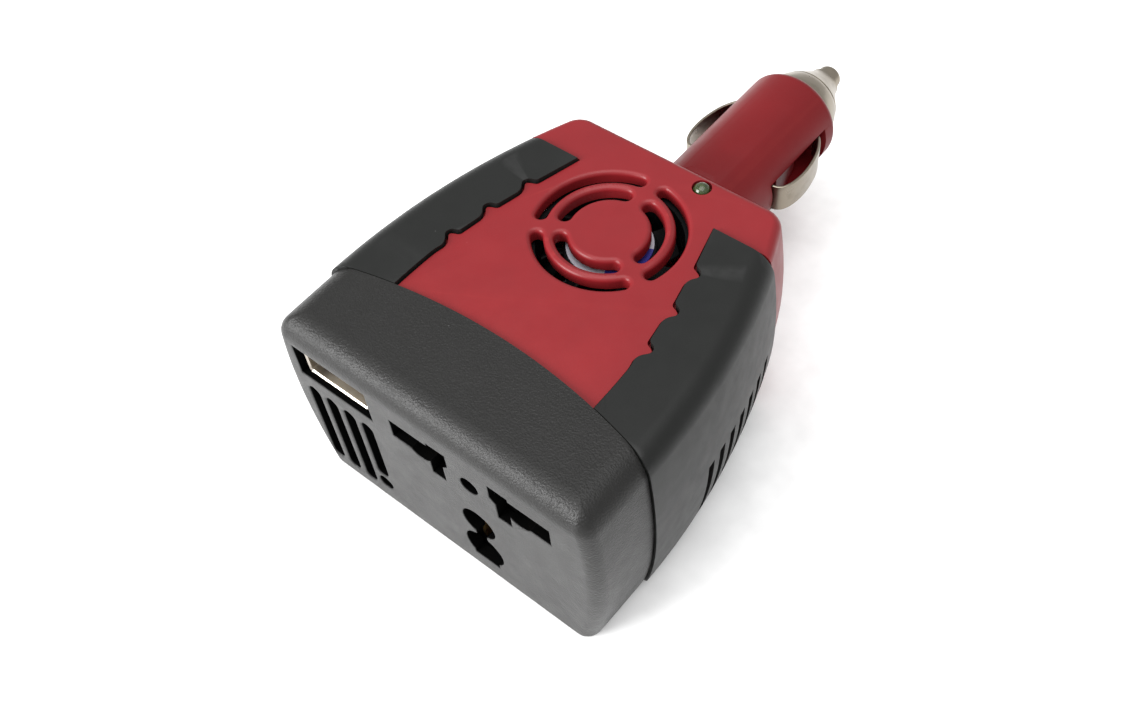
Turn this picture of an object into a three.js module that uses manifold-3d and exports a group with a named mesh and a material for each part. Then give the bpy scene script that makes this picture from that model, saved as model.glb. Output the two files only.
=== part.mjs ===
// A small 12 V car power inverter: a tapered red housing with black side grips and a black front cap that
// holds a USB outlet and a universal mains socket, and a swivelling vehicle-socket plug at the rear.
// Millimetres, +Z up. The front face looks along -Y and the plug points along +Y.
import * as THREE from "three";
import { ParametricGeometry } from "three/addons/geometries/ParametricGeometry.js";
import { mergeVertices } from "three/addons/utils/BufferGeometryUtils.js";
import Module from "manifold-3d";

const wasm = await Module();
wasm.setup();

// ---------------------------------------------------------------------------------------------------
// Driving dimensions, with y measured from the front face and z from the underside.

const CLEARANCE = 0.3;

// Housing outline, seen from above
const BODY_LENGTH = 61;
const BODY_HEIGHT = 38;
const HALF_WIDTH = 31.3;
const FRONT_BULGE = 0.2;
const REAR_TAPER = 10;
const WIDEST_AT = 14.4;
const FRONT_CORNER_RADIUS = 2.4;
const REAR_CORNER_RADIUS = 3.7;

// Housing sides, bowed in section and widest at the bow's height, and its edges
const SIDE_BOW_RADIUS = 76;
const SIDE_BOW_HEIGHT = 22.2;
const SIDE_BOW_BLEND = 12;
const CAP_TOP_EDGE_RADIUS = 4;
const CAP_LOW_EDGE_RADIUS = 1.8;
const SHELL_EDGE_RADIUS = 1.3;
const GRIP_TOP_EDGE_RADIUS = 3.3;
const GRIP_LOW_EDGE_RADIUS = 2.2;
const BED_EDGE_RADIUS = 2;

// Walls
const CAP_WALL = 2;
const SHELL_WALL = 2.8;
const SHELL_BELOW_GRIP = 0.6;
const GRIP_RECESS = 1.2;
const GRIP_PROUD = 0.5;
const SPLIT_HEIGHT = 19;
const SEAM_AT = 17.3;
const SEAM_RADIUS = 103;
const LIP_REACH = 3;
const LIP_THICKNESS = 1.2;

// Grips
const GRIP_INNER_X = 19;
const GRIP_INNER_X_REAR = 13.2;
const GRIP_REAR = BODY_LENGTH - 9;
const NOTCH_DEPTH = 1.3;
const NOTCH_FIRST = 28.4;
const NOTCH_PITCH = 7.6;
const NOTCH_COUNT = 3;
const TOOTH_REACH = 0.25;
const SIDE_VENT_WIDTH = 1.7;
const SIDE_VENT_FIRST = 26.9;
const SIDE_VENT_PITCH = 3.45;
const SIDE_VENT_COUNT = 7;
const SIDE_VENT_LOW = 5;
const SIDE_VENT_TOP = 20.5;

// Grille and fan
const FAN_AT = BODY_LENGTH - 17.8;
const GRILLE_RINGS = [
  [6.5, 8.6],
  [10.2, 12.1],
];
const GRILLE_SPOKE = 2.6;
const GRILLE_THICKNESS = 2.2;
const FAN_SIZE = 25;
const FAN_DEPTH = 8;
const FAN_BORE_RADIUS = 11.7;
const FAN_HUB_RADIUS = 7.4;
const FAN_BLADES = 7;
const FAN_SCREW_OFFSET = 10.3;

// Front panel
const USB_AT = { x: -(HALF_WIDTH - 12.05), z: 29.6 };
const USB_CUTOUT = { width: 15.3, height: 6.8 };
const USB_SHELL = { width: 13.1, height: 5.7, depth: 14, wall: 0.4, recess: 0.85 };
const PANEL_VENT_WIDTH = 2.4;
const PANEL_VENT_FIRST_X = -(HALF_WIDTH - 5.8);
const PANEL_VENT_PITCH = 3.87;
const PANEL_VENT_COUNT = 4;
const PANEL_VENT_TOP = 23.2;
const PANEL_VENT_LOW = 3.8;
const SHORT_VENT_LOW = 8.6;
const PANEL_HOLE = { x: -(HALF_WIDTH - 17.4), z: 6.3, radius: 1.45 };
const SOCKET_X = 8;
const POLE_ARM = { outer: 15.1, low: 26.4, high: 30.55 };
const POLE_ROUND = { offset: 9.5, z: 28, radius: 2.4 };
const POLE_INNER = { edge: 4, low: 28.2, high: 31.2 };
const POLE_BLADE = { offset: 6.35, width: 2.6, low: 23.6 };
const CENTRE_HOLE = { z: 27.05, radius: 1.65 };
const EARTH_UPPER = { z: 16.2, radius: 3.2 };
const EARTH_LOWER = { z: 8.6, radius: 3.75 };
const EARTH_NECK_WIDTH = 2.2;
const EARTH_FOOT = { halfWidth: 2.5, low: 4.8 };
const INSERT_DEPTH = 8.7;
const INSERT_MARGIN = 1.4;
const CONTACT_THICKNESS = 0.6;
const POLE_CONTACT_GAP = 4.5;
const EARTH_CONTACT_GAP = 5.2;

// Status light
const LED_AT = { x: 6.5, y: BODY_LENGTH - 2.6 };
const LED_RADIUS = 1.45;

// Circuit board and what stands on it
const BOARD_THICKNESS = 1.6;
const BOARD_HALF_WIDTH = 15.8;
const BOARD_FRONT = 19;
const BOARD_REAR = BODY_LENGTH - 6.1;
const BOARD_STAND_OFF = 3;
const TRANSFORMER = { width: 16, depth: 8, height: 13, leg: 2.4 };
const TRANSFORMER_AT = 38.5;
const CAPACITOR_AT = 26.6;
const CAPACITOR = { x: 4.9, radius: 4.4, inputHeight: 14, outputHeight: 15 };
const FILM_CAPACITOR = { width: 8, depth: 4, height: 4, fromRear: 1.2 };
const CHOKE = { inner: 1.6, outer: 4, height: 3.4, x: -9.2, fromRear: 5.2 };
const CONTROL_CHIP = { x: 9.4, width: 8, depth: 5.8, height: 3.3, fromRear: 4.4 };
const WIRE_RADIUS = 0.7;

// Case screws
const SCREW_FRONT = { x: 22.5, y: 23 };
const SCREW_REAR = { x: 18.8, y: BODY_LENGTH - 12 };
const SCREW_HEAD_RADIUS = 2.2;
const SCREW_SHANK_RADIUS = 1.2;
const SCREW_TOP = 28;
const SCREW_SEAT = 0.6;
const BOSS_RADIUS = 2.7;

// Plug, with its lengths measured from the swivel pin
const PLUG_AXIS_HEIGHT = 20.9;
const PLUG_RADIUS = 8.9;
const PLUG_LENGTH = 26.76;
const PLUG_RIM_RADIUS = 1.6;
const PIVOT_GAP = 0.34;
const TONGUE_WIDTH = 7.8;
const TONGUE_RADIUS = 4.2;
const TONGUE_FLANGE = { thickness: 2.4, side: 3, below: 2 };
const PIN_RADIUS = 1.5;
const PIN_LENGTH = 14.4;
const NOSE_RADIUS = 6.6;
const NOSE_LENGTH = 10;
const NUT_SKIRT_LENGTH = 2.8;
const TIP_RADIUS = 2.3;
const TIP_EDGE_RADIUS = 1.2;
const TIP_REACH = 2.8;
const FUSE_BORE_START = TONGUE_RADIUS + 1.3;
const FUSE_BORE_RADIUS = 3.4;
const FUSE_RADIUS = 2.6;
const FUSE_LENGTH = 20;
const FUSE_BEHIND_NOSE = 4.7;
const TIP_SPRING_TURNS = 4;
const TIP_SPRING_WIRE_RADIUS = 0.3;
const CLIP_WIDTH = 5.5;
const CLIP_THICKNESS = 0.6;
const CLIP_START = 6.7;
const CLIP_LENGTH = 15.3;
const CLIP_REACH = PLUG_RADIUS + 2.1;
const CLIP_ROOT_X = 6.2;
const CLIP_TRAVEL = 1.7;

// ---------------------------------------------------------------------------------------------------
// Solids: every helper returns a manifold solid placed in the part's frame.

function solid(geometry) {
  const bare = new THREE.BufferGeometry();
  const source = geometry.index ? geometry.toNonIndexed() : geometry;
  bare.setAttribute("position", source.getAttribute("position"));
  const merged = mergeVertices(bare, 1e-4);
  const vertProperties = merged.attributes.position.array;
  const triVerts = new Uint32Array(merged.index.array);
  return new wasm.Manifold(new wasm.Mesh({ numProp: 3, vertProperties, triVerts }));
}

function box(x0, x1, y0, y1, z0, z1) {
  const geometry = new THREE.BoxGeometry(x1 - x0, y1 - y0, z1 - z0);
  return solid(geometry.translate((x0 + x1) / 2, (y0 + y1) / 2, (z0 + z1) / 2));
}

function rodZ(radius, x, y, z0, z1, sides = 16) {
  const geometry = new THREE.CylinderGeometry(radius, radius, z1 - z0, sides);
  return solid(geometry.rotateX(Math.PI / 2).translate(x, y, (z0 + z1) / 2));
}

function rodY(radius, x, z, y0, y1, sides = 16) {
  const geometry = new THREE.CylinderGeometry(radius, radius, y1 - y0, sides);
  return solid(geometry.translate(x, (y0 + y1) / 2, z));
}

function rodX(radius, y, z, x0, x1, sides = 24) {
  const geometry = new THREE.CylinderGeometry(radius, radius, x1 - x0, sides);
  return solid(geometry.rotateZ(Math.PI / 2).translate((x0 + x1) / 2, y, z));
}

function extrude(shape, depth) {
  return new THREE.ExtrudeGeometry(shape, { depth, bevelEnabled: false, curveSegments: 8 });
}

// A plan shape (x, y) raised from z0 to z1
function prismZ(shape, z0, z1) {
  return solid(extrude(shape, z1 - z0).translate(0, 0, z0));
}

// A front-view shape (x, z) run from y0 to y1
function prismY(shape, y0, y1) {
  return solid(extrude(shape, y1 - y0).rotateX(Math.PI / 2).translate(0, y1, 0));
}

// A side-view shape (y, z) run from x0 to x1
function prismX(shape, x0, x1) {
  const axes = new THREE.Matrix4().makeBasis(
    new THREE.Vector3(0, 1, 0),
    new THREE.Vector3(0, 0, 1),
    new THREE.Vector3(1, 0, 0),
  );
  return solid(extrude(shape, x1 - x0).applyMatrix4(axes).translate(x0, 0, 0));
}

// A profile of (radius, y) points turned about the plug's axis
function turned(profile, segments = 32) {
  const points = profile.map(([radius, y]) => new THREE.Vector2(radius, y));
  const geometry = new THREE.LatheGeometry(points, segments);
  return solid(geometry.translate(0, 0, PLUG_AXIS_HEIGHT));
}

// A round wire through the given points
function wire(points, radius, steps, sides = 8) {
  const section = new THREE.Shape(arcPoints(0, 0, radius, 0, 2 * Math.PI, sides).slice(1));
  const extrudePath = new THREE.CatmullRomCurve3(points.map((p) => new THREE.Vector3(...p)));
  return solid(new THREE.ExtrudeGeometry(section, { steps, extrudePath, bevelEnabled: false }));
}

function arcPoints(x, y, radius, from, to, steps) {
  const points = [];
  for (let i = 0; i <= steps; i++) {
    const angle = from + ((to - from) * i) / steps;
    points.push(new THREE.Vector2(x + radius * Math.cos(angle), y + radius * Math.sin(angle)));
  }
  return points;
}

function rectangle(x0, x1, y0, y1) {
  return new THREE.Shape([
    new THREE.Vector2(x0, y0),
    new THREE.Vector2(x1, y0),
    new THREE.Vector2(x1, y1),
    new THREE.Vector2(x0, y1),
  ]);
}

// A slot with round ends, upright about the line x from low to high
function roundSlot(x, low, high, width) {
  const radius = width / 2;
  const points = [
    ...arcPoints(x, high - radius, radius, 0, Math.PI, 6),
    ...arcPoints(x, low + radius, radius, Math.PI, 2 * Math.PI, 6),
  ];
  return new THREE.Shape(points);
}

function union(solids) {
  return solids.reduce((whole, piece) => whole.add(piece));
}

// ---------------------------------------------------------------------------------------------------
// Housing outline and the regions that divide it

const SMALLEST_CORNER = 0.4;
const REAR_REACH = BODY_LENGTH - WIDEST_AT;
const FRONT_SIDE_RADIUS = (WIDEST_AT ** 2 + FRONT_BULGE ** 2) / (2 * FRONT_BULGE);
const REAR_SIDE_RADIUS = (REAR_REACH ** 2 + REAR_TAPER ** 2) / (2 * REAR_TAPER);

// Half of the outline, from the middle of the front to the middle of the rear, grown outwards by grow
function halfOutline(grow) {
  const front = cornerArc(FRONT_SIDE_RADIUS + grow, FRONT_CORNER_RADIUS + grow, -grow, 1);
  const rear = cornerArc(REAR_SIDE_RADIUS + grow, REAR_CORNER_RADIUS + grow, BODY_LENGTH + grow, -1);
  const frontX = HALF_WIDTH - FRONT_SIDE_RADIUS;
  const rearX = HALF_WIDTH - REAR_SIDE_RADIUS;
  const quarter = Math.PI / 2;
  return [
    ...arcPoints(frontX + front.x, front.y, front.radius, -quarter, front.angle, 5),
    ...arcPoints(frontX, WIDEST_AT, FRONT_SIDE_RADIUS + grow, front.angle, 0, 3).slice(1),
    ...arcPoints(rearX, WIDEST_AT, REAR_SIDE_RADIUS + grow, 0, rear.angle, 9).slice(1),
    ...arcPoints(rearX + rear.x, rear.y, rear.radius, rear.angle, quarter, 5).slice(1),
  ];
}

// The corner arc between a side arc and an end line: its centre, its radius and the angle where it
// meets the side. inward is +1 where the housing lies beyond the line and -1 where it lies before it.
function cornerArc(sideRadius, cornerRadius, endY, inward) {
  const radius = Math.max(cornerRadius, SMALLEST_CORNER);
  const y = endY + inward * radius;
  const x = Math.sqrt((sideRadius - radius) ** 2 - (y - WIDEST_AT) ** 2);
  return { x, y, radius, angle: Math.atan2(y - WIDEST_AT, x) };
}

function outline(grow) {
  const right = halfOutline(grow);
  const left = right.map((p) => new THREE.Vector2(-p.x, p.y)).reverse();
  return [...right, ...left];
}

// How far the bowed side stands in from its widest line at the height z
function bowInset(z) {
  return SIDE_BOW_RADIUS - Math.sqrt(SIDE_BOW_RADIUS ** 2 - (z - SIDE_BOW_HEIGHT) ** 2);
}

// The grown outline at the height z, drawn in at the sides by the bow
function levelRing(grow, z) {
  const inset = bowInset(z);
  return outline(grow).map((p) => {
    const share = THREE.MathUtils.clamp(p.x / SIDE_BOW_BLEND, -1, 1);
    return new THREE.Vector3(p.x - share * inset, p.y, z);
  });
}

// A closed solid through level rings, with its ends closed to their middles
function loft(rings) {
  const count = rings[0].length;
  const middle = (ring) => ring.map(() => new THREE.Vector3(0, BODY_LENGTH / 2, ring[0].z));
  const stations = [middle(rings[0]), ...rings, middle(rings.at(-1))];
  const last = stations.length - 1;
  const surface = (u, v, target) => {
    target.copy(stations[Math.round(v * last)][Math.round(u * count) % count]);
  };
  return solid(new ParametricGeometry(surface, count, last));
}

const BOW_LEVELS = 6;

function levelsBetween(low, high) {
  const levels = [];
  for (let i = 1; i < BOW_LEVELS; i++) {
    const z = (BODY_HEIGHT * i) / BOW_LEVELS;
    if (z > low + 1 && z < high - 1) {
      levels.push(z);
    }
  }
  return levels;
}

const FILLET_STEPS = 3;

// The rings of a rounded edge: end is the height of the flat face and inward points into the body
function filletRings(grow, end, radius, inward) {
  const rings = [];
  for (let i = 0; i <= FILLET_STEPS; i++) {
    const angle = (Math.PI / 2) * (i / FILLET_STEPS);
    const inset = radius * (1 - Math.sin(angle));
    rings.push(levelRing(grow - inset, end + inward * radius * (1 - Math.cos(angle))));
  }
  return rings;
}

// The housing's outline grown by grow, with rounded top and bottom edges
function casing(grow, low, high, topRadius, lowRadius) {
  return loft([
    ...filletRings(grow, low, lowRadius, 1),
    ...levelsBetween(low + lowRadius, high - topRadius).map((z) => levelRing(grow, z)),
    ...filletRings(grow, high, topRadius, -1).reverse(),
  ]);
}

// The same outline with square edges, for the hollows inside
function hollow(grow, low, high) {
  return loft([low, ...levelsBetween(low, high), high].map((z) => levelRing(grow, z)));
}

const FAR = 80;

// Everything in front of the seam, which bows towards the rear, moved back by shift
function beforeSeam(shift) {
  const edge = SEAM_AT + shift;
  const swing = Math.asin((HALF_WIDTH + 8) / SEAM_RADIUS);
  const quarter = Math.PI / 2;
  const arc = arcPoints(0, edge - SEAM_RADIUS, SEAM_RADIUS, quarter - swing, quarter + swing, 14);
  const corners = [new THREE.Vector2(-FAR, arc.at(-1).y), new THREE.Vector2(-FAR, -FAR)];
  const others = [new THREE.Vector2(FAR, -FAR), new THREE.Vector2(FAR, arc[0].y)];
  return prismZ(new THREE.Shape([...arc, ...corners, ...others]), -FAR, FAR);
}

function gripInnerX(y) {
  const share = (y - SEAM_AT) / (GRIP_REAR - SEAM_AT);
  return GRIP_INNER_X - (GRIP_INNER_X - GRIP_INNER_X_REAR) * share * Math.abs(share);
}

// One notch of the grip's inner edge: how far each corner lies along the housing from the notch's place,
// how far it stands outwards, and which way it slides along as the region grows
const NOTCH_CORNERS = [
  { along: -2.9, out: -TOOTH_REACH, slide: 0 },
  { along: -2, out: 0.1, slide: 1 },
  { along: -0.75, out: NOTCH_DEPTH, slide: 1 },
  { along: 0.3, out: NOTCH_DEPTH - 0.15, slide: -1 },
  { along: 0.85, out: -0.1, slide: -1 },
];

// The plan of one grip, side +1 or -1, with its inner edge, notches and rear edge grown by grow
function gripRegion(side, grow) {
  const edge = [];
  const add = (y, out, slide) => {
    edge.push(new THREE.Vector2(side * (gripInnerX(y) + out - grow), y + slide * grow));
  };
  for (let y = 0; y < NOTCH_FIRST - NOTCH_PITCH / 2; y += 4) {
    add(y, 0, 0);
  }
  for (let i = 0; i < NOTCH_COUNT; i++) {
    for (const { along, out, slide } of NOTCH_CORNERS) {
      add(NOTCH_FIRST + i * NOTCH_PITCH + along, out, slide);
    }
  }
  add(GRIP_REAR, 0, 1);
  edge.push(new THREE.Vector2(side * FAR, GRIP_REAR + grow));
  edge.push(new THREE.Vector2(side * FAR, 0));
  return prismZ(new THREE.Shape(side > 0 ? edge.reverse() : edge), -FAR, FAR);
}

function sideVents() {
  const cuts = [];
  for (let i = 0; i < SIDE_VENT_COUNT; i++) {
    const y = SIDE_VENT_FIRST + i * SIDE_VENT_PITCH;
    const half = SIDE_VENT_WIDTH / 2;
    cuts.push(box(-FAR, FAR, y - half, y + half, SIDE_VENT_LOW, SIDE_VENT_TOP));
  }
  return union(cuts);
}

function screwPlaces() {
  const places = [];
  for (const place of [SCREW_FRONT, SCREW_REAR]) {
    places.push({ x: -place.x, y: place.y }, { x: place.x, y: place.y });
  }
  return places;
}

// ---------------------------------------------------------------------------------------------------
// Heights and places that follow from the driving dimensions

const SHELL_LOW = SHELL_BELOW_GRIP;
const SHELL_TOP = BODY_HEIGHT - SHELL_BELOW_GRIP;
const FLOOR = SHELL_LOW + SHELL_WALL;
const CEILING = SHELL_TOP - SHELL_WALL;
const BOARD_LOW = FLOOR + BOARD_STAND_OFF;
const BOARD_TOP = BOARD_LOW + BOARD_THICKNESS;
const ON_BOARD = BOARD_TOP + CLEARANCE;
const PIVOT_Y = BODY_LENGTH + PIVOT_GAP + PLUG_RADIUS;
const PLUG_END = PIVOT_Y + PLUG_LENGTH;
const NOSE_END = PLUG_END + NOSE_LENGTH;
const TIP_END = NOSE_END + TIP_REACH;
const CLIP_REAR = PIVOT_Y + CLIP_START;
const FUSE_FRONT = NOSE_END - FUSE_BEHIND_NOSE;
const FUSE_REAR = FUSE_FRONT - FUSE_LENGTH;
const FAN_TOP = CEILING - CLEARANCE;
const FAN_LOW = FAN_TOP - FAN_DEPTH;

// ---------------------------------------------------------------------------------------------------
// Front cap

function poleHole(side) {
  const x = (offset) => SOCKET_X + side * offset;
  const blade = POLE_BLADE.width / 2;
  const arm = rectangle(...sorted(x(POLE_INNER.edge + 2), x(POLE_ARM.outer)), POLE_ARM.low, POLE_ARM.high);
  const inner = [
    [POLE_INNER.edge, POLE_INNER.low],
    [POLE_BLADE.offset - blade, POLE_INNER.low - 1],
    [POLE_BLADE.offset - blade, POLE_BLADE.low],
    [POLE_BLADE.offset + blade, POLE_BLADE.low],
    [POLE_BLADE.offset + blade, POLE_INNER.high],
    [POLE_INNER.edge, POLE_INNER.high],
  ];
  const points = inner.map(([offset, z]) => new THREE.Vector2(x(offset), z));
  const step = new THREE.Shape(side > 0 ? points : points.reverse());
  return union([
    prismY(arm, -CAP_WALL, 2 * CAP_WALL),
    prismY(step, -CAP_WALL, 2 * CAP_WALL),
    rodY(POLE_ROUND.radius, x(POLE_ROUND.offset), POLE_ROUND.z, -CAP_WALL, 2 * CAP_WALL),
  ]);
}

function sorted(a, b) {
  return a < b ? [a, b] : [b, a];
}

function earthHole() {
  const neck = EARTH_NECK_WIDTH / 2;
  const foot = EARTH_FOOT.halfWidth;
  const neckShape = rectangle(SOCKET_X - neck, SOCKET_X + neck, EARTH_LOWER.z, EARTH_UPPER.z);
  const footShape = rectangle(SOCKET_X - foot, SOCKET_X + foot, EARTH_FOOT.low, EARTH_LOWER.z);
  return union([
    rodY(EARTH_UPPER.radius, SOCKET_X, EARTH_UPPER.z, -CAP_WALL, 2 * CAP_WALL, 20),
    rodY(EARTH_LOWER.radius, SOCKET_X, EARTH_LOWER.z, -CAP_WALL, 2 * CAP_WALL, 20),
    prismY(neckShape, -CAP_WALL, 2 * CAP_WALL),
    prismY(footShape, -CAP_WALL, 2 * CAP_WALL),
  ]);
}

function panelVents() {
  const cuts = [rodY(PANEL_HOLE.radius, PANEL_HOLE.x, PANEL_HOLE.z, -CAP_WALL, 2 * CAP_WALL, 12)];
  for (let i = 0; i < PANEL_VENT_COUNT; i++) {
    const x = PANEL_VENT_FIRST_X + i * PANEL_VENT_PITCH;
    const low = i === PANEL_VENT_COUNT - 1 ? SHORT_VENT_LOW : PANEL_VENT_LOW;
    cuts.push(prismY(roundSlot(x, low, PANEL_VENT_TOP, PANEL_VENT_WIDTH), -CAP_WALL, 2 * CAP_WALL));
  }
  return union(cuts);
}

function usbCutout() {
  const halfWidth = USB_CUTOUT.width / 2;
  const halfHeight = USB_CUTOUT.height / 2;
  const mouth = rectangle(
    USB_AT.x - halfWidth,
    USB_AT.x + halfWidth,
    USB_AT.z - halfHeight,
    USB_AT.z + halfHeight,
  );
  return prismY(mouth, -CAP_WALL, 2 * CAP_WALL);
}

function frontCap() {
  return casing(0, 0, BODY_HEIGHT, CAP_TOP_EDGE_RADIUS, CAP_LOW_EDGE_RADIUS)
    .subtract(hollow(-CAP_WALL, CAP_WALL, BODY_HEIGHT - CAP_WALL))
    .intersect(beforeSeam(-CLEARANCE / 2))
    .subtract(usbCutout())
    .subtract(panelVents())
    .subtract(rodY(CENTRE_HOLE.radius, SOCKET_X, CENTRE_HOLE.z, -CAP_WALL, 2 * CAP_WALL, 14))
    .subtract(poleHole(1))
    .subtract(poleHole(-1))
    .subtract(earthHole());
}

// ---------------------------------------------------------------------------------------------------
// Upper and lower shell, cut from one body at the split height

function grilleSlots() {
  const cuts = [];
  for (const [inner, outer] of GRILLE_RINGS) {
    const middle = (inner + outer) / 2;
    const round = (outer - inner) / 2;
    const keep = (GRILLE_SPOKE / 2 + round) / middle;
    for (let i = 0; i < 3; i++) {
      const from = Math.PI / 2 + (i * 2 * Math.PI) / 3 + keep;
      const to = Math.PI / 2 + ((i + 1) * 2 * Math.PI) / 3 - keep;
      cuts.push(ringSlot(inner, outer, middle, round, from, to));
    }
  }
  return union(cuts);
}

function ringSlot(inner, outer, middle, round, from, to) {
  const endX = middle * Math.cos(to);
  const endY = FAN_AT + middle * Math.sin(to);
  const startX = middle * Math.cos(from);
  const startY = FAN_AT + middle * Math.sin(from);
  const points = [
    ...arcPoints(0, FAN_AT, outer, from, to, 10),
    ...arcPoints(endX, endY, round, to, to + Math.PI, 4).slice(1, -1),
    ...arcPoints(0, FAN_AT, inner, to, from, 10),
    ...arcPoints(startX, startY, round, from + Math.PI, from + 2 * Math.PI, 4).slice(1, -1),
  ];
  return prismZ(new THREE.Shape(points), CEILING - 1, BODY_HEIGHT + 1);
}

function tongueHole() {
  const halfWidth = TONGUE_WIDTH / 2 + CLEARANCE;
  const halfHeight = TONGUE_RADIUS + CLEARANCE;
  const low = PLUG_AXIS_HEIGHT - halfHeight;
  const high = PLUG_AXIS_HEIGHT + halfHeight;
  return box(-halfWidth, halfWidth, BODY_LENGTH - 2 * SHELL_WALL, BODY_LENGTH + 1, low, high);
}

function screwBosses() {
  return union(screwPlaces().map(({ x, y }) => rodZ(BOSS_RADIUS, x, y, FLOOR - 1, CEILING + 1)));
}

function screwHoles() {
  const cuts = [];
  for (const { x, y } of screwPlaces()) {
    cuts.push(rodZ(SCREW_HEAD_RADIUS + CLEARANCE, x, y, -1, FLOOR - SCREW_SEAT));
    cuts.push(rodZ(SCREW_SHANK_RADIUS + CLEARANCE, x, y, 0, SCREW_TOP + 1, 12));
  }
  return union(cuts);
}

const BOARD_POSTS = [
  { x: -(BOARD_HALF_WIDTH - 2.6), y: BOARD_FRONT + 2.4, screwed: true },
  { x: BOARD_HALF_WIDTH - 2.6, y: BOARD_FRONT + 2.4, screwed: true },
  { x: -(BOARD_HALF_WIDTH - 2.6), y: BOARD_REAR - 2.4, screwed: false },
  { x: BOARD_HALF_WIDTH - 2.6, y: BOARD_REAR - 2.4, screwed: false },
];
const BOARD_SCREW_RADIUS = 0.9;

function boardPosts() {
  return union(BOARD_POSTS.map(({ x, y }) => rodZ(2.2, x, y, FLOOR - 1, BOARD_LOW - CLEARANCE, 12)));
}

function boardHoles() {
  const holes = BOARD_POSTS.filter((post) => post.screwed);
  return union(holes.map(({ x, y }) => rodZ(BOARD_SCREW_RADIUS + CLEARANCE, x, y, FLOOR, BOARD_TOP + 1, 10)));
}

const FAN_SCREWS = [
  { x: -FAN_SCREW_OFFSET, y: FAN_AT - FAN_SCREW_OFFSET },
  { x: FAN_SCREW_OFFSET, y: FAN_AT + FAN_SCREW_OFFSET },
];
const FAN_SCREW_RADIUS = 0.9;
const FAN_SCREW_TOP = SHELL_TOP - 1.2;

function fanScrewHoles(low, high) {
  return union(FAN_SCREWS.map(({ x, y }) => rodZ(FAN_SCREW_RADIUS + CLEARANCE, x, y, low, high, 10)));
}

function cavity() {
  return hollow(-SHELL_WALL, FLOOR, CEILING);
}

function seamLip() {
  const outside = CAP_WALL + CLEARANCE;
  const inside = outside + LIP_THICKNESS;
  const ring = hollow(-outside, outside, BODY_HEIGHT - outside).subtract(
    hollow(-inside, inside, BODY_HEIGHT - inside),
  );
  return ring.intersect(beforeSeam(CLEARANCE)).subtract(beforeSeam(-LIP_REACH));
}

function recessed() {
  const low = SHELL_LOW + GRIP_RECESS;
  return casing(-GRIP_RECESS, low, SHELL_TOP - GRIP_RECESS, BED_EDGE_RADIUS, SHELL_EDGE_RADIUS);
}

function shellPair() {
  return casing(0, SHELL_LOW, SHELL_TOP, SHELL_EDGE_RADIUS, SHELL_EDGE_RADIUS)
    .subtract(gripRegion(1, CLEARANCE))
    .subtract(gripRegion(-1, CLEARANCE))
    .add(recessed())
    .subtract(cavity())
    .subtract(sideVents())
    .add(screwBosses().intersect(hollow(-GRIP_RECESS - 0.5, FLOOR - 1, CEILING + 1)))
    .add(boardPosts())
    .subtract(beforeSeam(CLEARANCE / 2))
    .add(seamLip())
    .subtract(rodZ(FAN_BORE_RADIUS + 1.3, 0, FAN_AT, CEILING - 1, SHELL_TOP - GRILLE_THICKNESS, 32))
    .subtract(grilleSlots())
    .subtract(rodZ(LED_RADIUS + CLEARANCE, LED_AT.x, LED_AT.y, CEILING - 1, BODY_HEIGHT, 14))
    .subtract(tongueHole())
    .subtract(screwHoles())
    .subtract(boardHoles())
    .subtract(fanScrewHoles(CEILING - 1, FAN_SCREW_TOP + CLEARANCE));
}

const SHELLS = shellPair();

function upperShell() {
  return SHELLS.intersect(box(-FAR, FAR, -FAR, FAR, SPLIT_HEIGHT + CLEARANCE / 2, FAR));
}

function lowerShell() {
  return SHELLS.intersect(box(-FAR, FAR, -FAR, FAR, -FAR, SPLIT_HEIGHT - CLEARANCE / 2));
}

// ---------------------------------------------------------------------------------------------------
// Side grips: channels that wrap over the top, the side and the underside of the shells

function grip(side) {
  const inset = GRIP_RECESS - CLEARANCE;
  const bedRadius = BED_EDGE_RADIUS + CLEARANCE;
  const bed = casing(-inset, SHELL_LOW + inset, SHELL_TOP - inset, bedRadius, SHELL_EDGE_RADIUS);
  return casing(GRIP_PROUD, 0, BODY_HEIGHT, GRIP_TOP_EDGE_RADIUS, GRIP_LOW_EDGE_RADIUS)
    .subtract(bed)
    .intersect(gripRegion(side, 0))
    .subtract(beforeSeam(CLEARANCE / 2))
    .subtract(screwHoles())
    .subtract(sideVents());
}

// ---------------------------------------------------------------------------------------------------
// Universal socket: an insulating block with a pocket for each contact

const INSERT_FRONT = CAP_WALL + CLEARANCE;
const INSERT_REAR = INSERT_FRONT + INSERT_DEPTH;
const POCKET_REAR = INSERT_REAR - 1.4;
const POLE_CONTACT = { inner: POLE_BLADE.offset - POLE_BLADE.width / 2, outer: POLE_ARM.outer - 0.6 };
const POLE_MIDDLE = (POLE_ARM.low + POLE_ARM.high) / 2;
const POLE_HALF = POLE_CONTACT_GAP / 2 + CONTACT_THICKNESS;
const EARTH_HALF = EARTH_CONTACT_GAP / 2 + CONTACT_THICKNESS;
const EARTH_CONTACT = { low: EARTH_FOOT.low + 0.4, high: EARTH_UPPER.z + EARTH_UPPER.radius - 0.4 };
const TAB_HALF = 1.4;
const TAB_REACH = 3;

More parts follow.
